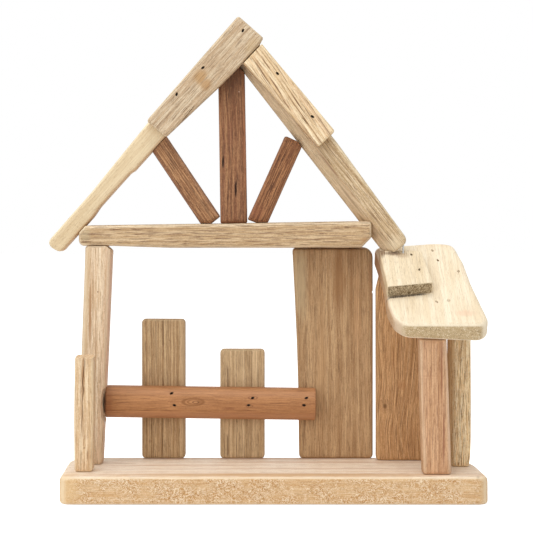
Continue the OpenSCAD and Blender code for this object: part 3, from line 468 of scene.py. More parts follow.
def sawn_wood(name, grain, pale, deep, dark, seed, face=(0, -1, 0), swirl=10, swirl_run=150, band=2.6,
              contrast=0.85, spacing=2.4, lines=0.35, fibre=0.7, fleck=0.4, streak=0.4, tint=None, facing_light_and_tone=(),
              marks=(), loops=(), knots=(), rough=(), grit=(1.0, 0.5), ends=None, curls=0.0, edge=None,
              depth=0.16):
    """Sawn and sanded wood of three tones, with growth bands, fibres, pores, streaks, stains and end grain.

    Sizes are in millimetres and shares from 0 to 1. A mark or a loop is its middle, half width, half length,
    share and colour, and a mark may add its half depth; a mark is a stain, a streak or a patch of painted
    shade.
    A knot is its middle, half width, half length and colour. A facet is the way it faces, its colour and its
    share, and paints light and shade by that way: paler on faces turned up, darker on faces turned down or
    into shade, and on some sides the wood's own tone.
    """
    wood = Wood(name, grain, face, seed)
    swirl_width = 34
    wood.swirl(swirl, swirl_width, swirl_run)
    eyes = [(wood.knot(point, radius, length), tone) for point, radius, length, tone in knots]
    bands = wood.bands(band)
    growth = wood.growth(spacing)
    clouds = wood.noise(16, 16, 50, shift=7.0)
    fibres = wood.noise(0.45, 0.45, 11, detail=1.0, roughness=0.6)
    strands = wood.noise(0.85, 0.85, 22, detail=3.0, roughness=0.7, shift=21.0)
    speckle = wood.noise(0.6, 0.6, 1.3, roughness=0.7, shift=25.0)
    patches = wood.noise(3.5, 3.5, 15, roughness=0.6, shift=5.0)
    streaks = wood.noise(0.9, 0.9, 17, detail=1.0, roughness=0.6, shift=9.0)
    pores = wood.noise(0.45, 0.45, 3.2, detail=1.0, shift=3.0)

    # Broad tones: growth bands, a tint, slow clouds, and painted light and shade by the way each face looks,
    # partly the wood's own tone on some sides
    colour = wood.tone(pale, bands, 0.4, 0.6, contrast, deep)
    if tint:
        colour = wood.tone(colour, wood.bands(5.5, 1.0, 11.0), 0.45, 0.66, tint[1], tint[0])
    colour = wood.tone(colour, clouds, 0.45, 0.72, 0.5, deep)
    # Painted light and shade: each facet's colour lies on the faces that look its way, paler on tops, darker
    # on undersides and shaded sides
    for direction, tone, share in facing_light_and_tone:
        colour = wood.layer(colour, wood.facing(direction, high=share), tone)

    # Fine grain: strands, fibres and specks, then late wood lines in patches, streaks and pores
    late = wood.maths("MULTIPLY", growth, wood.ramp(patches, 0.4, 0.6, 0.0, lines))
    colour = wood.tone(colour, strands, 0.49, 0.58, fibre, deep)
    colour = wood.tone(colour, strands, 0.46, 0.38, fibre * 0.9, pale)
    colour = wood.tone(colour, fibres, 0.54, 0.64, fibre * 0.9, dark)
    colour = wood.tone(colour, speckle, 0.52, 0.62, fibre * 0.6, deep)
    colour = wood.tone(colour, speckle, 0.46, 0.36, fibre * 0.6, pale)
    colour = wood.layer(colour, late, dark)
    colour = wood.tone(colour, streaks, 0.66, 0.76, streak, dark)
    colour = wood.tone(colour, pores, 0.6, 0.72, fleck, dark)

    # End grain, and faces as rough as it: short grains of three tones, with pale scribbles between them
    grain_end = wood.maths("ABSOLUTE", wood.dot(wood.normal, wood.grain))
    ended = wood.ramp(grain_end, 0.72, 0.92)
    for direction in rough:
        ended = wood.maths("MAXIMUM", ended, wood.facing(direction, 0.6, 0.95))
    cell, share = grit
    light, middle, deepest = ends or (pale, deep, dark)
    grains = wood.noise(cell, cell, cell * 1.4, roughness=0.6, shift=13.0, curl=2.2)
    speckled = wood.tone(middle, grains, 0.5, 0.68, 0.9, light)
    speckled = wood.tone(speckled, grains, 0.44, 0.3, 0.8, deepest)
    if curls:
        curly = wood.noise(1.7, 1.7, 2.1, shift=37.0, curl=1.2)
        scribble = wood.maths("ABSOLUTE", wood.maths("SUBTRACT", curly, 0.5))
        speckled = wood.tone(speckled, scribble, 0.05, 0.015, curls, light)
    scuffs = wood.noise(9, 9, 14, roughness=0.6, shift=31.0)
    worn = wood.ramp(scuffs, 0.34, 0.6, 0.25 if rough else share, share)
    colour = wood.layer(colour, wood.maths("MULTIPLY", ended, worn), speckled)

    # Stains and painted shade with frayed ends, the hearts of knots, and the thin loops of grain round them
    frayed = wood.maths("SUBTRACT", fibres, 0.5)
    # Some marks are painted shade in joints and under other pieces, laid on in the same way as stains
    for point, half_width, half_length, share, tone, *half_depth in marks:
        off = wood.distance(point, half_width, half_length, *half_depth)
        off = wood.maths("MULTIPLY_ADD", frayed, 1.6, off)
        colour = wood.tone(colour, off, 1.15, 0.35, share, tone)
    for off, tone in eyes:
        colour = wood.tone(colour, off, 1.3, 0.5, 0.8, tone)
    for point, half_width, half_length, share, tone in loops:
        off = wood.maths("SUBTRACT", wood.distance(point, half_width, half_length), 1.0)
        off = wood.maths("ABSOLUTE", off)
        colour = wood.tone(colour, off, 0.3, 0.08, share, tone)
    if edge:
        sides = [wood.maths("ABSOLUTE", wood.dot(wood.normal, axis)) for axis in (wood.side, wood.face)]
        flat = wood.maths("MAXIMUM", wood.maths("MAXIMUM", *sides), grain_end)
        colour = wood.tone(colour, flat, 0.97, 0.76, edge[1], edge[0])

    # The grain's relief: soft bands, raised fibres, and open pores and end grain
    relief = wood.maths("SUBTRACT", fibres, wood.maths("MULTIPLY", growth, 0.25))
    relief = wood.maths("ADD", wood.maths("MULTIPLY", bands, 0.6), relief)
    relief = wood.maths("SUBTRACT", relief, wood.ramp(pores, 0.58, 0.7, 0.0, 0.5))
    relief = wood.maths("ADD", relief, wood.maths("MULTIPLY", ended, grains))
    return wood.finish(colour, relief, depth)


def stand_in(piece, node, material):
    """Puts a finished piece in the place of its CAD node."""
    piece.data.materials.clear()
    piece.data.materials.append(material)
    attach(piece, "root")
    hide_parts(node)


along_x, along_z = Vector((1, 0, 0)), Vector((0, 0, 1))
base_marks = [((-132, -40, 8), 16, 13, 0.75, "#DDBA89"), ((133, -40, 8), 16, 6, 0.6, "#D9B483"),
              ((128, -36, 17), 0.8, 1.5, 0.7, "#8A6440"), ((-20, 33, 18), 3, 140, 0.4, "#C4947A", 5),
              ((30, 17, 18), 3, 90, 0.5, "#C6956F", 3.5), ((-60, 4, 18), 3, 70, 0.45, "#CB9E76", 3),
              ((20, -10, 18), 3, 110, 0.4, "#CFA47C", 3), ((0, -34, 18), 3, 150, 0.75, "#C99A64", 7.5),
              ((70, -20, 18), 2.5, 60, 0.4, "#DAB084", 1.8), ((-70, -22, 18), 2.5, 50, 0.35, "#DAB084", 1.6)]
# The base's top facet is a painted highlight from the lamp above
stand_in(worked("base_board", along_x, voxel=0.95, wave=0.5, wave_length=45), "base_board",
         sawn_wood("base_board_wood", along_x, "#E7CBA3", "#CA9D68", "#94612F", 2.0, swirl=14,
                   swirl_run=120, band=3.2, contrast=0.8, spacing=3.4, lines=0.2, fibre=0.4, fleck=0.2,
                   streak=0.12, facing_light_and_tone=[((0, 0, 1), "#FFF4E4", 0.85)], marks=base_marks, rough=[(0, -1, 0)],
                   grit=(1.2, 0.95), ends=("#F8EACF", "#BF8F56", "#845020"), curls=0.65,
                   edge=("#F3E0BF", 0.55), depth=0.3))

# Left side: a tall square-sawn post under the tie beam's left end, and a short cracked stake that stands free
# in front of it. Both are pale branch wood with the bark side sanded off, glued and nailed from below.
post_marks = [((-120.3, 5.5, 118), 1.1, 28, 0.85, "#A0744A"), ((-118.2, 5.5, 130), 0.6, 30, 0.6, "#AA8058"),
              ((-116.6, 5.5, 96), 0.6, 24, 0.6, "#A0764E"),
              ((-115.2, 5.5, 131.3), 0.5, 0.7, 0.9, "#7E4B2C"),
              ((-110.5, 5.5, 105), 0.35, 46, 0.55, "#A9805C"),
              # Painted shadow on the post's right side where the rail's end butts into it
              ((-111.8, 14.5, 56.3), 1.35, 12, 1.0, "#24130A", 8),
              # Painted shade line across the post's top, under the tie beam
              ((-118, 5.5, 161), 12, 0.9, 0.6, "#6B4C33")]
# The post leans, so its tan left edge and its pinkish right edge are each a row of marks
post_marks += [((-121.3 - k * 1.1, 5.5, 152 - k * 26), 2.1, 19, 0.55, "#BFA07A") for k in range(4)]
post_marks += [((-107.3 - k * 1.1, 5.5, 140 - k * 30), 1.4, 22, 0.5, "#D9AC90") for k in range(3)]


def swell(piece, low, high, shift):
    """Moves the skin of a piece inside this box, in millimetres, so that a glued joint shows no light."""
    for point in piece.data.vertices:
        if all(low[k] * mm < point.co[k] < high[k] * mm for k in range(3)):
            point.co += Vector(shift) * mm
    return piece


corner_post = swell(worked("left_corner_post", along_z), low=(-113.5, 16.2, 44), high=(-111.6, 24, 69),
                    shift=(0.5, 0, 0))
stand_in(corner_post, "left_corner_post",
         sawn_wood("corner_post_wood", along_z, "#EFDBBE", "#D0AF8A", "#98734E", 5.0, contrast=0.75,
                   fibre=0.7, facing_light_and_tone=[((1, -0.5, 0), "#D9AE8C", 0.5), ((-1, -0.4, 0), "#C8AE8A", 0.45)],
                   marks=post_marks, edge=("#EFDDBE", 0.4)))
stake_crack = [(-122, 44, 0.1), (-122.3, 50, 0.35), (-121.5, 56, 0.5), (-122.1, 62, 0.4), (-121.2, 70, 0.8),
               (-121.8, 76, 0.6), (-121.1, 81, 0.9), (-120.6, 87, 0.5), (-120.9, 94, 0.9)]
stake_marks = [((-121.5, -24.5, 78), 1.3, 15, 0.75, "#9C6F45"),
               ((-122, -24.5, 52), 1.0, 14, 0.6, "#A87B4F"),
               ((-120.8, -24.5, 33.5), 0.5, 0.5, 0.8, "#7C5636"),
               ((-118.6, -24.5, 29), 0.45, 4, 0.7, "#86603E"),
               ((-122.6, -24.5, 28.5), 0.45, 4.5, 0.5, "#86603E")]
stand_in(worked("left_front_stake", along_z, voxel=0.5, splits=[(-24.5, 1.3, stake_crack)]),
         "left_front_stake",
         sawn_wood("stake_wood", along_z, "#EFD9B6", "#D0AC82", "#956A48", 8.0, contrast=0.8, lines=0.45,
                   facing_light_and_tone=[((1, -0.5, 0), "#E9D2AC", 0.5)], marks=stake_marks, edge=("#EFDDBA", 0.4)))

# The fence: two thin sawn boards nailed upright at the base's back edge, and a half-round reddish rail that
# lies across their fronts, is pinned to each with two brads, and has its left end housed in the corner post.


def pinned(group):
    """The lines of the pins in this group, and painted shade in and round the slots of their heads."""
    below, half_width, half_length, half_depth = 0.7 * mm, 1.0, 1.6, 1.3
    # A near-black painted shade in and round each sunk head's slot
    slot_shade = [(tuple((tip + axis * (length - below)) / mm), half_width, half_length, 0.92, "#24160D",
             half_depth) for tip, axis, length in pins[group]]
    return pins[group], slot_shade


stand_in(worked("left_fence_board", along_z), "left_fence_board",
         sawn_wood("left_fence_wood", along_z, "#D0B187", "#A17E57", "#654A30", 11.0, swirl=6, swirl_run=220,
                   band=2.2, contrast=0.9, spacing=2.2, lines=0.8, fibre=0.45, streak=0.6,
                   marks=[((-61, 32.5, 65), 1.8, 60, 0.6, "#C9AD88")], edge=("#CDB48F", 0.5)))
stand_in(worked("middle_fence_board", along_z), "middle_fence_board",
         sawn_wood("middle_fence_wood", along_z, "#D7BA92", "#AF8F67", "#6E5236", 14.0, swirl=5,
                   swirl_run=240, band=2.2, contrast=0.9, spacing=2.0, lines=0.85, fibre=0.42, streak=0.6,
                   edge=("#C6AC87", 0.5)))
rail_heads, rail_slot_shade = pinned("rail_brads")
rail_knots = [((-53.3, 16.5, 57.9), 2.0, 5.4, "#B98355")]
rail_loops = [((-53.3, 16.5, 57.9), 2.3, 6.6, 0.7, "#84552F"),
              ((-52.8, 16.5, 57.9), 1.4, 4.0, 0.7, "#84552F"),
              ((-51.6, 16.5, 57.7), 0.7, 1.9, 0.8, "#5F3A22"),
              ((-13.7, 16.5, 60.6), 1.0, 2.8, 0.6, "#7D4B30"), ((-16, 16.5, 55.2), 0.9, 2.2, 0.5, "#7D4B30")]
rail_marks = [((-50.2, 16.5, 57.9), 0.5, 1.0, 0.85, "#5A3220"), ((-110, 16.5, 57), 14, 4, 0.45, "#8A5334"),
              # First on this line: a painted shadow where the rail's left end meets the corner post
              ((-112.4, 16.5, 56.3), 15, 1.7, 1.0, "#1F100A"), ((-30, 16.5, 48), 3.2, 90, 0.45, "#96603F"),
              ((-31, 16.5, 53.5), 1.2, 5, 0.35, "#7E4B30")]
rail_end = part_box("fence_rail")[0].x / mm
rail = swell(worked("fence_rail", along_x, heads=rail_heads), low=(rail_end - 1, 10, 40),
             high=(rail_end + 0.4, 35, 70), shift=(-0.3, 0, 0))
stand_in(rail, "fence_rail",
         sawn_wood("rail_wood", along_x, "#C18B5C", "#9F6B42", "#653B24", 17.0, swirl=5, swirl_run=120,
                   band=2.6, contrast=0.6, spacing=2.4, lines=0.3, fibre=0.5, fleck=0.25, streak=0.3,
                   knots=rail_knots, loops=rail_loops, marks=rail_marks + rail_slot_shade, edge=("#D3A07A", 0.3)))

# The wall board: the widest upright board, sawn, a little wider at the top. It is nailed from below at the
# base's back edge and carries the tie beam's right end.
wall_marks = [((18, 32.5, 138), 6, 34, 0.7, "#BCA47F"), ((44, 32.5, 140), 6, 26, 0.65, "#94683E"),
              ((32, 32.5, 82), 4, 60, 0.45, "#C29B6F"), ((56, 32.5, 118), 3, 36, 0.5, "#C0956A"),
              ((24, 32.5, 140), 1.0, 30, 0.45, "#8E643C"), ((52, 32.5, 135), 1.2, 34, 0.45, "#8E643C"),
              ((64.5, 32.5, 143), 0.8, 16, 0.5, "#8D6140")]
wall_nick = [(67.3, 128.4, 0.3), (66.8, 129.9, 1.5), (67.3, 131.4, 0.3)]
stand_in(worked("back_wall_board", along_z, splits=[(32.5, 9, wall_nick)]), "back_wall_board",
         sawn_wood("wall_board_wood", along_z, "#C8A57B", "#A07A53", "#694A2F", 20.0, swirl=9, swirl_run=130,
                   band=4.5, contrast=0.7, spacing=2.8, lines=0.4, fibre=0.5, marks=wall_marks,
                   edge=("#A98259", 0.35)))

# The tie beam: a pale sawn stick, cut off at a slant at its right end. It lies in shallow seats on the post
# and on the wall board, and carries the whole gable.
beam_marks = [((-29, 6.5, 169.4), 0.5, 4.5, 0.8, "#7B5A3C"), ((-25, 6.5, 167.4), 0.45, 5, 0.7, "#8A6745"),
              ((-34, 6.5, 168.2), 0.4, 4, 0.5, "#8A6745"), ((48.1, 6.5, 173.8), 0.5, 2.8, 0.85, "#5C4029"),
              ((46.4, 6.5, 167.9), 0.45, 1.9, 0.7, "#6E4E34"), ((-80, 6.5, 170.5), 0.45, 8, 0.55, "#9C7B58"),
              ((-52, 6.5, 166), 0.4, 9, 0.4, "#9C7B58"), ((10, 6.5, 171), 0.5, 12, 0.4, "#A98763"),
              ((60.5, 6.5, 165), 2.6, 4.2, 0.6, "#A97F55"), ((-124, 6.5, 168), 6, 4, 0.35, "#B9AC8C")]
stand_in(worked("tie_beam", along_x), "tie_beam",
         sawn_wood("tie_beam_wood", along_x, "#DABF99", "#B39168", "#6E4D36", 23.0, swirl=7, swirl_run=70,
                   band=2.2, contrast=0.7, spacing=2.0, lines=0.6, fibre=0.85, streak=0.5,
                   facing_light_and_tone=[((0, -0.4, 1), "#F0DFC0", 0.5)], marks=beam_marks, edge=("#EFDEC0", 0.35)))

# The king post and two struts: reddish hardwood sticks that stand on the beam, cut at their tops to the
# undersides of the rafters, glued and pinned. The king post has two dark bark pockets in its front.


def direction(tilt):
    """The way a stick runs that leans this many degrees to the right of upright."""
    return Vector((math.sin(math.radians(tilt)), 0, math.cos(math.radians(tilt))))


king_marks = [((-33.4, 13, 217), 1.0, 5.0, 0.9, "#321C13"), ((-33.0, 13, 224), 0.8, 8, 0.6, "#5A3423"),
              ((-25, 13, 199), 1.1, 6.5, 0.9, "#3A2015"), ((-24.0, 13, 207), 0.7, 5, 0.7, "#54301F"),
              ((-22.8, 13, 263), 0.45, 0.6, 0.9, "#D7B59B"), ((-21.9, 13, 270), 0.35, 3.2, 0.7, "#4A2A1D"),
              # First on this line: painted shade over the king post's top, under the ridge
              ((-28, 13, 282), 11, 26, 0.6, "#5F3E2A"), ((-19, 13, 228), 1.1, 44, 0.55, "#B97A55"),
              ((-28.5, 13, 232), 2.2, 16, 0.35, "#84533C")]
king_cracks = [[(-33.7, 213.6, 0.2), (-33.3, 217.2, 1.1), (-33.2, 221, 0.2)],
               [(-25.3, 193.6, 0.2), (-24.9, 198, 1.1), (-25.2, 200.5, 0.7), (-24.5, 204, 0.2)]]
king_run, left_strut_run, right_strut_run = direction(-1), direction(-33.8), direction(24.1)
stand_in(worked("king_post", king_run, voxel=0.6, splits=[(13, 1.3, crack) for crack in king_cracks]),
         "king_post",
         sawn_wood("king_post_wood", king_run, "#AF8058", "#76492E", "#3A1F13", 26.0, swirl=8, swirl_run=80,
                   band=4.0, contrast=0.85, spacing=3.0, lines=0.5, fibre=0.75, streak=0.7,
                   tint=("#8E5F45", 0.4), marks=king_marks, edge=("#A87557", 0.4)))
stand_in(worked("left_strut", left_strut_run, voxel=0.5), "left_strut",
         sawn_wood("left_strut_wood", left_strut_run, "#C49468", "#885C3A", "#47291A", 29.0, swirl=4,
                   swirl_run=160, band=1.8, contrast=0.95, spacing=2.0, lines=0.6, fibre=0.9, streak=0.8,
                   facing_light_and_tone=[((0.8, -0.5, 0.5), "#B38A6C", 0.6), ((-0.8, -0.5, -0.5), "#6E4128", 0.7)],
                   edge=("#A87F66", 0.3)))
strut_marks = [((2.9, 12.5, 218), 0.4, 5, 0.8, "#4A2A1D"), ((-12, 12.5, 184), 6, 7, 0.4, "#93583A")]
stand_in(worked("right_strut", right_strut_run, voxel=0.5), "right_strut",
         sawn_wood("right_strut_wood", right_strut_run, "#AE7A50", "#704428", "#371B10", 32.0, swirl=4,
                   swirl_run=160, band=1.8, contrast=0.95, spacing=2.2, lines=0.55, fibre=0.9, streak=0.8,
                   marks=strut_marks, edge=("#AD8065", 0.4)))

# The rafters: two long pale sticks that meet at the ridge, seated over the tie beam and pinned to it. The
# right one runs past the ridge, has a wide sawn bevel along its lower front edge, and ends in a blunt foot.
left_pitch, right_pitch = 48.1, 52.1
left_run, right_run = direction(90 - left_pitch), direction(right_pitch - 90)
gable_heads, gable_slot_shade = pinned("gable_brads")
stand_in(worked("left_rafter", left_run, heads=gable_heads), "left_rafter",
         sawn_wood("left_rafter_wood", left_run, "#E4D0AC", "#D0B68E", "#A98A64", 35.0, swirl=5,
                   swirl_run=200, contrast=0.45, lines=0.12, fibre=0.28, streak=0.1,
                   facing_light_and_tone=[((-0.7, -0.3, 0.7), "#F2E4C6", 0.6), ((0.7, -0.2, -0.7), "#C08A58", 0.6)],
                   marks=gable_slot_shade, edge=("#EBD6AE", 0.3)))
rafter_marks = [((36, 9.5, 215), 1.6, 14, 0.35, "#A98C68"), ((52, 9.5, 196), 1.0, 12, 0.4, "#9C7D5A"),
                ((66, 9.5, 180), 1.0, 12, 0.45, "#9C7D5A"), ((34, 9.5, 222), 4, 6, 0.3, "#B79D7C"),
                ((36.5, 9.5, 214), 0.8, 14, 0.75, "#8A6448"), ((50, 9.5, 193), 0.8, 14, 0.8, "#7A543A"),
                ((61, 9.5, 176), 0.8, 10, 0.8, "#7A543A"), ((67, 9.5, 168), 3, 3, 0.5, "#8E6C50"),
                ((80, 9.5, 162), 8, 8, 0.55, "#E2CFAE")]
stand_in(worked("right_rafter", right_run, heads=gable_heads), "right_rafter",
         sawn_wood("right_rafter_wood", right_run, "#E4CFAC", "#B6996F", "#745539", 38.0, swirl=5,
                   swirl_run=120, band=2.2, contrast=0.9, spacing=2.6, lines=0.6, fibre=0.9, streak=0.7,
                   facing_light_and_tone=[((0.7, -0.3, 0.7), "#F1E4C8", 0.65), ((-0.6, -0.6, -0.6), "#CFA888", 0.6)],
                   marks=gable_slot_shade + rafter_marks, grit=(0.8, 0.7), edge=("#E6D2AE", 0.3)))

# The ridge boards: two thin sawn boards pinned with brads on the fronts of the rafters, the right one butted
# against the left. The left one has an inlaid-looking tan patch, and the right one bold slanting grain.
ridge_heads, ridge_slot_shade = pinned("ridge_board_brads")
left_ridge_marks = [((-48.2, -0.5, 271.8), 4.8, 5.4, 0.75, "#B9905E"),
                    ((-44.2, -0.5, 266.6), 4.2, 4.8, 0.75, "#B28858"),
                    ((-51, -0.5, 271.2), 0.35, 4, 0.6, "#8A673F"),
                    ((-46.2, -0.5, 272.4), 0.35, 5, 0.55, "#8A673F"),
                    ((-43, -0.5, 264.6), 0.4, 3.6, 0.65, "#7E5C38"),
                    ((-28.5, -0.5, 300.9), 0.4, 0.4, 0.8, "#6B4A2E"),
                    ((-26.8, -0.5, 304.3), 0.35, 0.35, 0.8, "#6B4A2E"),
                    ((-57, -0.5, 246), 0.7, 9, 0.5, "#8A6A49"), ((-14, -0.5, 292), 4, 8, 0.35, "#B4935F"),
                    ((-50, -0.5, 283.5), 0.5, 3, 0.5, "#9A7549")]
ridge_crack = [(-61.5, 241.0, 0.2), (-58.5, 244.4, 0.7), (-55.8, 247.6, 0.4), (-54.2, 249.8, 0.7),
               (-51.5, 253.3, 0.2)]
stand_in(worked("left_ridge_board", left_run, voxel=0.55, heads=ridge_heads,
                splits=[(-0.5, 1.4, ridge_crack)]), "left_ridge_board",
         sawn_wood("left_ridge_wood", left_run, "#DAC6A8", "#BA9B78", "#72563E", 41.0, swirl=6,
                   swirl_run=110, band=2.0, contrast=0.6, spacing=2.0, lines=0.45, fibre=0.75, streak=0.35,
                   facing_light_and_tone=[((-0.7, -0.2, 0.7), "#E8D9BC", 0.5), ((0.7, -0.3, -0.7), "#C09C72", 0.5)],
                   marks=ridge_slot_shade + left_ridge_marks, edge=("#E2D0AE", 0.35)))
end_crack = [(22.6, 240.6, 0.2), (20.5, 242.9, 0.7), (18.2, 245.4, 0.3)]
right_ridge_marks = [((20.5, -0.5, 243), 0.7, 4, 0.6, "#7E5B38"), ((-6, -0.5, 272), 0.4, 7, 0.75, "#7C5735"),
                     ((-12, -0.5, 275), 0.4, 6, 0.6, "#8E6640"), ((4, -0.5, 258), 0.4, 8, 0.6, "#8E6640"),
                     ((13, -0.5, 259), 0.4, 8, 0.7, "#7C5735"), ((-9, -0.5, 277), 0.5, 9, 0.85, "#6B4526"),
                     ((1, -0.5, 266), 0.5, 8, 0.8, "#6B4526"), ((8, -0.5, 254), 0.5, 7, 0.8, "#744D2C"),
                     ((16, -0.5, 254), 0.5, 9, 0.85, "#6B4526"), ((22, -0.5, 249), 0.5, 6, 0.7, "#744D2C"),
                     ((-5, -0.5, 280), 0.45, 6, 0.6, "#744D2C"), ((26, -0.5, 243), 0.4, 6, 0.5, "#8E6640"),
                     ((-3, -0.5, 264), 0.4, 5, 0.5, "#9A7048")]
grain_pitch = 55.5
ridge_grain = direction(grain_pitch - 90)
stand_in(worked("right_ridge_board", right_run, voxel=0.55, heads=ridge_heads,
                splits=[(-0.5, 1.3, end_crack)]), "right_ridge_board",
         sawn_wood("right_ridge_wood", ridge_grain, "#F8E4C0", "#D8B688", "#7E5A3A", 44.0, swirl=5,
                   swirl_run=60, band=2.4, contrast=0.8, spacing=3.0, lines=0.75, fibre=0.6, streak=0.7,
                   tint=("#DDAE8A", 0.3),
                   facing_light_and_tone=[((0.7, -0.2, 0.7), "#F0DEB8", 0.5), ((-0.7, -0.3, -0.7), "#8E6343", 0.75)],
                   marks=ridge_slot_shade + right_ridge_marks, edge=("#E8D0A2", 0.35)))

# The lean-to's uprights: a wide orange-brown board at the back, a pinkish square post in front and a rough
# split post at the side, each nailed from below, with its top sawn to the slope of the roof.
lean_marks = [((85.6, 23.5, 68), 3.4, 3.6, 0.4, "#A46C3C"), ((80, 23.5, 88), 2.5, 14, 0.3, "#A87444")]
stand_in(worked("lean_to_back_board", along_z), "lean_to_back_board",
         sawn_wood("lean_board_wood", along_z, "#D6AA7A", "#AD7F52", "#6A4628", 47.0, swirl=16, swirl_run=60,
                   band=2.4, contrast=0.85, spacing=2.0, lines=0.7, fibre=0.6, marks=lean_marks,
                   knots=[((74.3, 23.5, 54.4), 1.3, 1.8, "#6F4A2C")], edge=("#C9A57B", 0.3)))
front_marks = [((105.7, -34.5, 84), 0.8, 25, 0.8, "#8F5C3E"), ((107.0, -34.5, 42), 0.8, 26, 0.8, "#8F5C3E"),
               ((94.2, -34.5, 60), 0.5, 40, 0.4, "#A87452"), ((98.3, -34.5, 80.3), 7, 0.35, 0.4, "#B07D5C"),
               # Last on this line: painted shadow of the roof slab on the post's top
               ((99, -34.5, 78.5), 6, 0.3, 0.3, "#B07D5C"), ((99.5, -34.5, 112), 8, 13, 0.5, "#AE7A50")]
stand_in(worked("lean_to_front_post", along_z, voxel=0.6), "lean_to_front_post",
         sawn_wood("front_post_wood", along_z, "#DBB088", "#B5865E", "#7C4F34", 50.0, swirl=5,
                   swirl_run=150, band=2.4, contrast=0.75, spacing=2.2, lines=0.4, fibre=0.6, streak=0.35,
                   tint=("#C4957A", 0.2),
                   facing_light_and_tone=[((-1, -0.5, 0), "#DDBF9C", 0.6), ((1, -0.5, 0), "#E0C0A0", 0.65)],
                   marks=front_marks, edge=("#E9CDAC", 0.35)))
chips = [[(120.3, 84.6, 0.3), (121.5, 86.8, 1.2), (122.7, 89.4, 0.4)],
         [(122.7, 57.5, 0.3), (123.0, 63, 1.2), (124, 68, 0.3)],
         [(124.9, 40.6, 0.3), (123.6, 43, 1.1), (122.6, 45.4, 0.3)],
         [(121.6, 48, 0.3), (121.9, 52, 0.9), (121.5, 56, 0.3)],
         [(124.8, 74, 0.3), (124.2, 78, 1.0), (125, 82, 0.3)],
         [(121.8, 96, 0.3), (122.6, 100, 1.0), (122.2, 105, 0.3)],
         [(120.6, 70, 0.3), (121.2, 73, 0.8), (120.9, 77, 0.3)],
         [(126, 30.6, 0.3), (123, 32.8, 0.9), (120.4, 34.2, 0.3)]]
chip_depth, chip_narrowing = 0.6, 0.7
side_splits = [(-3.5, chip_depth, [(x, z, wide * chip_narrowing) for x, z, wide in chip]) for chip in chips]
side_marks = [((x, -3.5, z), 0.5, 5.0, 0.45, "#A0774A") for start, (x, z, wide), end in chips]
side_marks += [((115.4, -3.5, 70), 3.2, 75, 0.6, "#A97C48"), ((120.6, -3.5, 60), 0.45, 16, 0.5, "#A67C50"),
               ((124.3, -3.5, 92), 0.45, 12, 0.5, "#A67C50"), ((125.2, -3.5, 52), 0.4, 9, 0.5, "#A67C50")]
side_post = worked("lean_to_side_post", along_z, voxel=0.5, wave=0.6, wave_length=14, fibre=0.35,
                   fibre_width=3, splits=side_splits)
stand_in(side_post, "lean_to_side_post",
         sawn_wood("side_post_wood", along_z, "#FFEEC8", "#EAC794", "#85592F", 53.0, swirl=9, swirl_run=28,
                   band=2.4, contrast=0.9, spacing=2.2, lines=0.6, fibre=0.9, fleck=0.5, streak=0.9,
                   facing_light_and_tone=[((-1, -0.6, 0), "#98703F", 0.8)], marks=side_marks, edge=("#DCC49C", 0.3),
                   depth=0.35))

# The lean-to's roof: a thick cream slab pinned on those three, sloping to the front, and a short sawn batten
# pinned on it along its left edge, on which the right rafter's foot stands.
roof_slope = math.radians(31.7)
roof_run = Vector((0, math.cos(roof_slope), math.sin(roof_slope)))
roof_face = Vector((0, -math.sin(roof_slope), math.cos(roof_slope)))
roof_heads, roof_slot_shade = pinned("roof_brads")
# The first two marks are painted shade: the shadow under the right rafter's foot, and shade along the slab's
# left edge, partly the wood's own darker edge
roof_marks = [((78, 44, 161), 11, 6, 0.85, "#6F4A30"), ((69.5, 24, 150), 2.4, 28, 0.7, "#94694A"),
              ((121, -33, 121), 7, 4, 0.35, "#E2B090"), ((126, 10, 146), 4, 9, 0.25, "#E6C8A8"),
              ((112, 36, 160), 14, 3, 0.3, "#E2C6A0")]
# A painted shadow line along the foot of the batten's end, which lies a little askew
roof_marks += [((74 + k * 3.4, -17.9 + 0.52 * k, 129 + 0.32 * k), 4.4, 1.25, 0.7, "#3A291A")
               for k in range(7)]
# The slab's left-side facet is painted shade, partly the wood's own darker edge
stand_in(worked("lean_to_roof", roof_run, heads=roof_heads), "lean_to_roof",
         sawn_wood("roof_slab_wood", roof_run, "#F3E6CC", "#E0C9A4", "#A88660", 56.0, face=roof_face,
                   swirl=4, swirl_run=160, band=6.0, contrast=0.4, spacing=2.8, lines=0.12, fibre=0.28,
                   fleck=0.25, streak=0.25, facing_light_and_tone=[((-1, -0.2, -0.1), "#AD8058", 0.85)],
                   marks=roof_slot_shade + roof_marks, grit=(1.4, 1.0), ends=("#EADBBC", "#BDA47C", "#644E31"),
                   edge=("#F3E6CC", 0.4)))
batten_heads, batten_slot_shade = pinned("batten_brads")
# Painted shadow of the rafter's foot on the batten, and painted shade at its back-left, partly the wood's own
# darker tone
batten_shade_and_tone = [((79, 12.4, 154), 8, 2.8, 0.75, "#5E3F29"), ((84, 10.5, 153), 7, 3.6, 0.35, "#8A6546"),
                ((71.3, 14, 155), 2.6, 8, 0.75, "#74502F")]
# The batten's left-side facet is painted shade, partly the wood's own tone
stand_in(worked("roof_batten", roof_run, voxel=0.5, heads=batten_heads), "roof_batten",
         sawn_wood("batten_wood", roof_run, "#F3E4C8", "#D8C19A", "#8A6E4C", 59.0, face=roof_face, swirl=4,
                   swirl_run=160, band=6.0, contrast=0.4, lines=0.2, fibre=0.3, streak=0.3,
                   facing_light_and_tone=[((-1, 0, -0.1), "#C9AC84", 0.6)], marks=batten_slot_shade + batten_shade_and_tone,
                   grit=(2.1, 1.0), curls=0.75, ends=("#CDBB9B", "#7F6A4A", "#2C2015"),
                   edge=("#E6D5B2", 0.3)))

# Brads and nails: thin steel brads with narrow oval heads, driven below the face, their steel painted near
# black as shade in their slots. The one that shows at the rafter's foot is bright, and so are the
# round-headed nails from under the base.


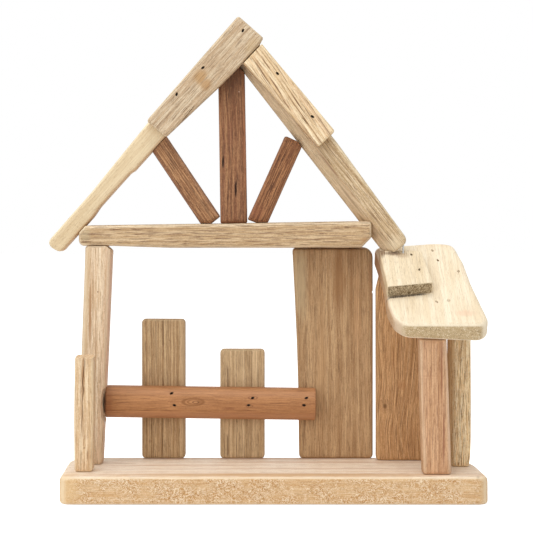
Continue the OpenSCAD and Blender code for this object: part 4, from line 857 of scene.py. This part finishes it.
def steel(name, tone):
    """Drawn steel wire, with faint scuffs of under half a millimetre in its gloss."""
    scuffs_in_a_metre, smooth, scuffed = 2500.0, 0.3, 0.55
    material, tree = bare_material(name)
    place = put(tree, "ShaderNodeTexCoord").outputs["Object"]
    scuff = put(tree, "ShaderNodeTexNoise", Vector=place, Scale=scuffs_in_a_metre, Detail=2.0).outputs[0]
    dulled = put(tree, "ShaderNodeMapRange", scuff, 0.3, 0.7, smooth, scuffed)
    skin = put(tree, "ShaderNodeBsdfPrincipled", Base_Color=tone, Metallic=1.0, Roughness=dulled)
    put(tree, "ShaderNodeOutputMaterial", skin)
    return material


def pin_tree(material):
    """Geometry Nodes that stand a pin on each point: a shank, and a head that is oval on a brad."""
    measures = ("Shank radius", "Head length", "Head width", "Head thickness", "Pin length")
    tree, given = geometry_tree("driven_pins", measures)
    shank_sides, head_sides = 12, 16
    shank = put(tree, "GeometryNodeMeshCylinder", Vertices=shank_sides, Radius=given["Shank radius"],
                Depth=given["Pin length"])
    half = maths(tree, "MULTIPLY", given["Pin length"], 0.5)
    raised = put(tree, "GeometryNodeTransform", shank,
                 Translation=put(tree, "ShaderNodeCombineXYZ", 0.0, 0.0, half).outputs[0])
    head = put(tree, "GeometryNodeMeshCylinder", Vertices=head_sides, Radius=0.5, Depth=1.0)
    size = put(tree, "ShaderNodeCombineXYZ", given["Head length"], given["Head width"],
               given["Head thickness"])
    top = maths(tree, "SUBTRACT", given["Pin length"], maths(tree, "MULTIPLY", given["Head thickness"], 0.5))
    placed = put(tree, "GeometryNodeTransform", head, Scale=size.outputs[0],
                 Translation=put(tree, "ShaderNodeCombineXYZ", 0.0, 0.0, top).outputs[0])
    both = put(tree, "GeometryNodeJoinGeometry")
    tree.links.new(raised.outputs[0], both.inputs[0])
    tree.links.new(placed.outputs[0], both.inputs[0])
    turned = put(tree, "GeometryNodeInputNamedAttribute", data_type="FLOAT_VECTOR", Name="driven")
    spread = put(tree, "GeometryNodeInstanceOnPoints", given["Geometry"], Instance=both.outputs[0],
                 Rotation=turned.outputs[0])
    made = put(tree, "GeometryNodeRealizeInstances", spread)
    done = put(tree, "GeometryNodeSetMaterial", made, Material=material)
    put(tree, "NodeGroupOutput", done)
    return tree


# Sunk brads get a near-black copy of the steel as painted shade in their slots
shaded_pins = pin_tree(steel("dull_steel", (0.07, 0.06, 0.05, 1)))
bright_pins = pin_tree(steel("bright_steel", (0.42, 0.41, 0.39, 1)))


def drive(group, shank, head, sunk, made_by):
    """Makes one group of pins at the places of its CAD solids, their heads sunk by this many millimetres.

    The shank is its diameter, and the head its length, width and thickness.
    """
    lines = pins[group]
    shortest = float(min(length for tip, axis, length in lines))
    mesh = bpy.data.meshes.new(group + "_points")
    mesh.from_pydata([tuple(tip) for tip, axis, length in lines], [], [])
    turns = mesh.attributes.new("driven", "FLOAT_VECTOR", "POINT")
    for k, (tip, axis, length) in enumerate(lines):
        up = Vector(axis)
        side = (along_x - up * along_x.dot(up)).normalized()
        turns.data[k].vector = Matrix((side, up.cross(side), up)).transposed().to_euler()
    piece = set_out(group + "_driven", mesh)
    modifier = piece.modifiers.new("pins", "NODES")
    modifier.node_group = made_by
    set_inputs(modifier, shank_radius=shank / 2 * mm, head_length=head[0] * mm, head_width=head[1] * mm,
               head_thickness=head[2] * mm, pin_length=shortest - sunk * mm)
    evaluated(piece)
    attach(piece, "root")
    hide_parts(group)


brad_shank, brad_head = 1.2, (2.0, 0.95, 0.8)
nail_shank, nail_head = 1.5, (3.2, 3.2, 0.8)
left_bright = ("rafter_foot_brad", "base_nails")
for sunk_group in [group for group in pin_groups if group not in left_bright]:
    drive(sunk_group, brad_shank, brad_head, sunk=0.5, made_by=shaded_pins)
drive("rafter_foot_brad", brad_shank, brad_head, sunk=0.0, made_by=bright_pins)
drive("base_nails", nail_shank, nail_head, sunk=0.0, made_by=bright_pins)
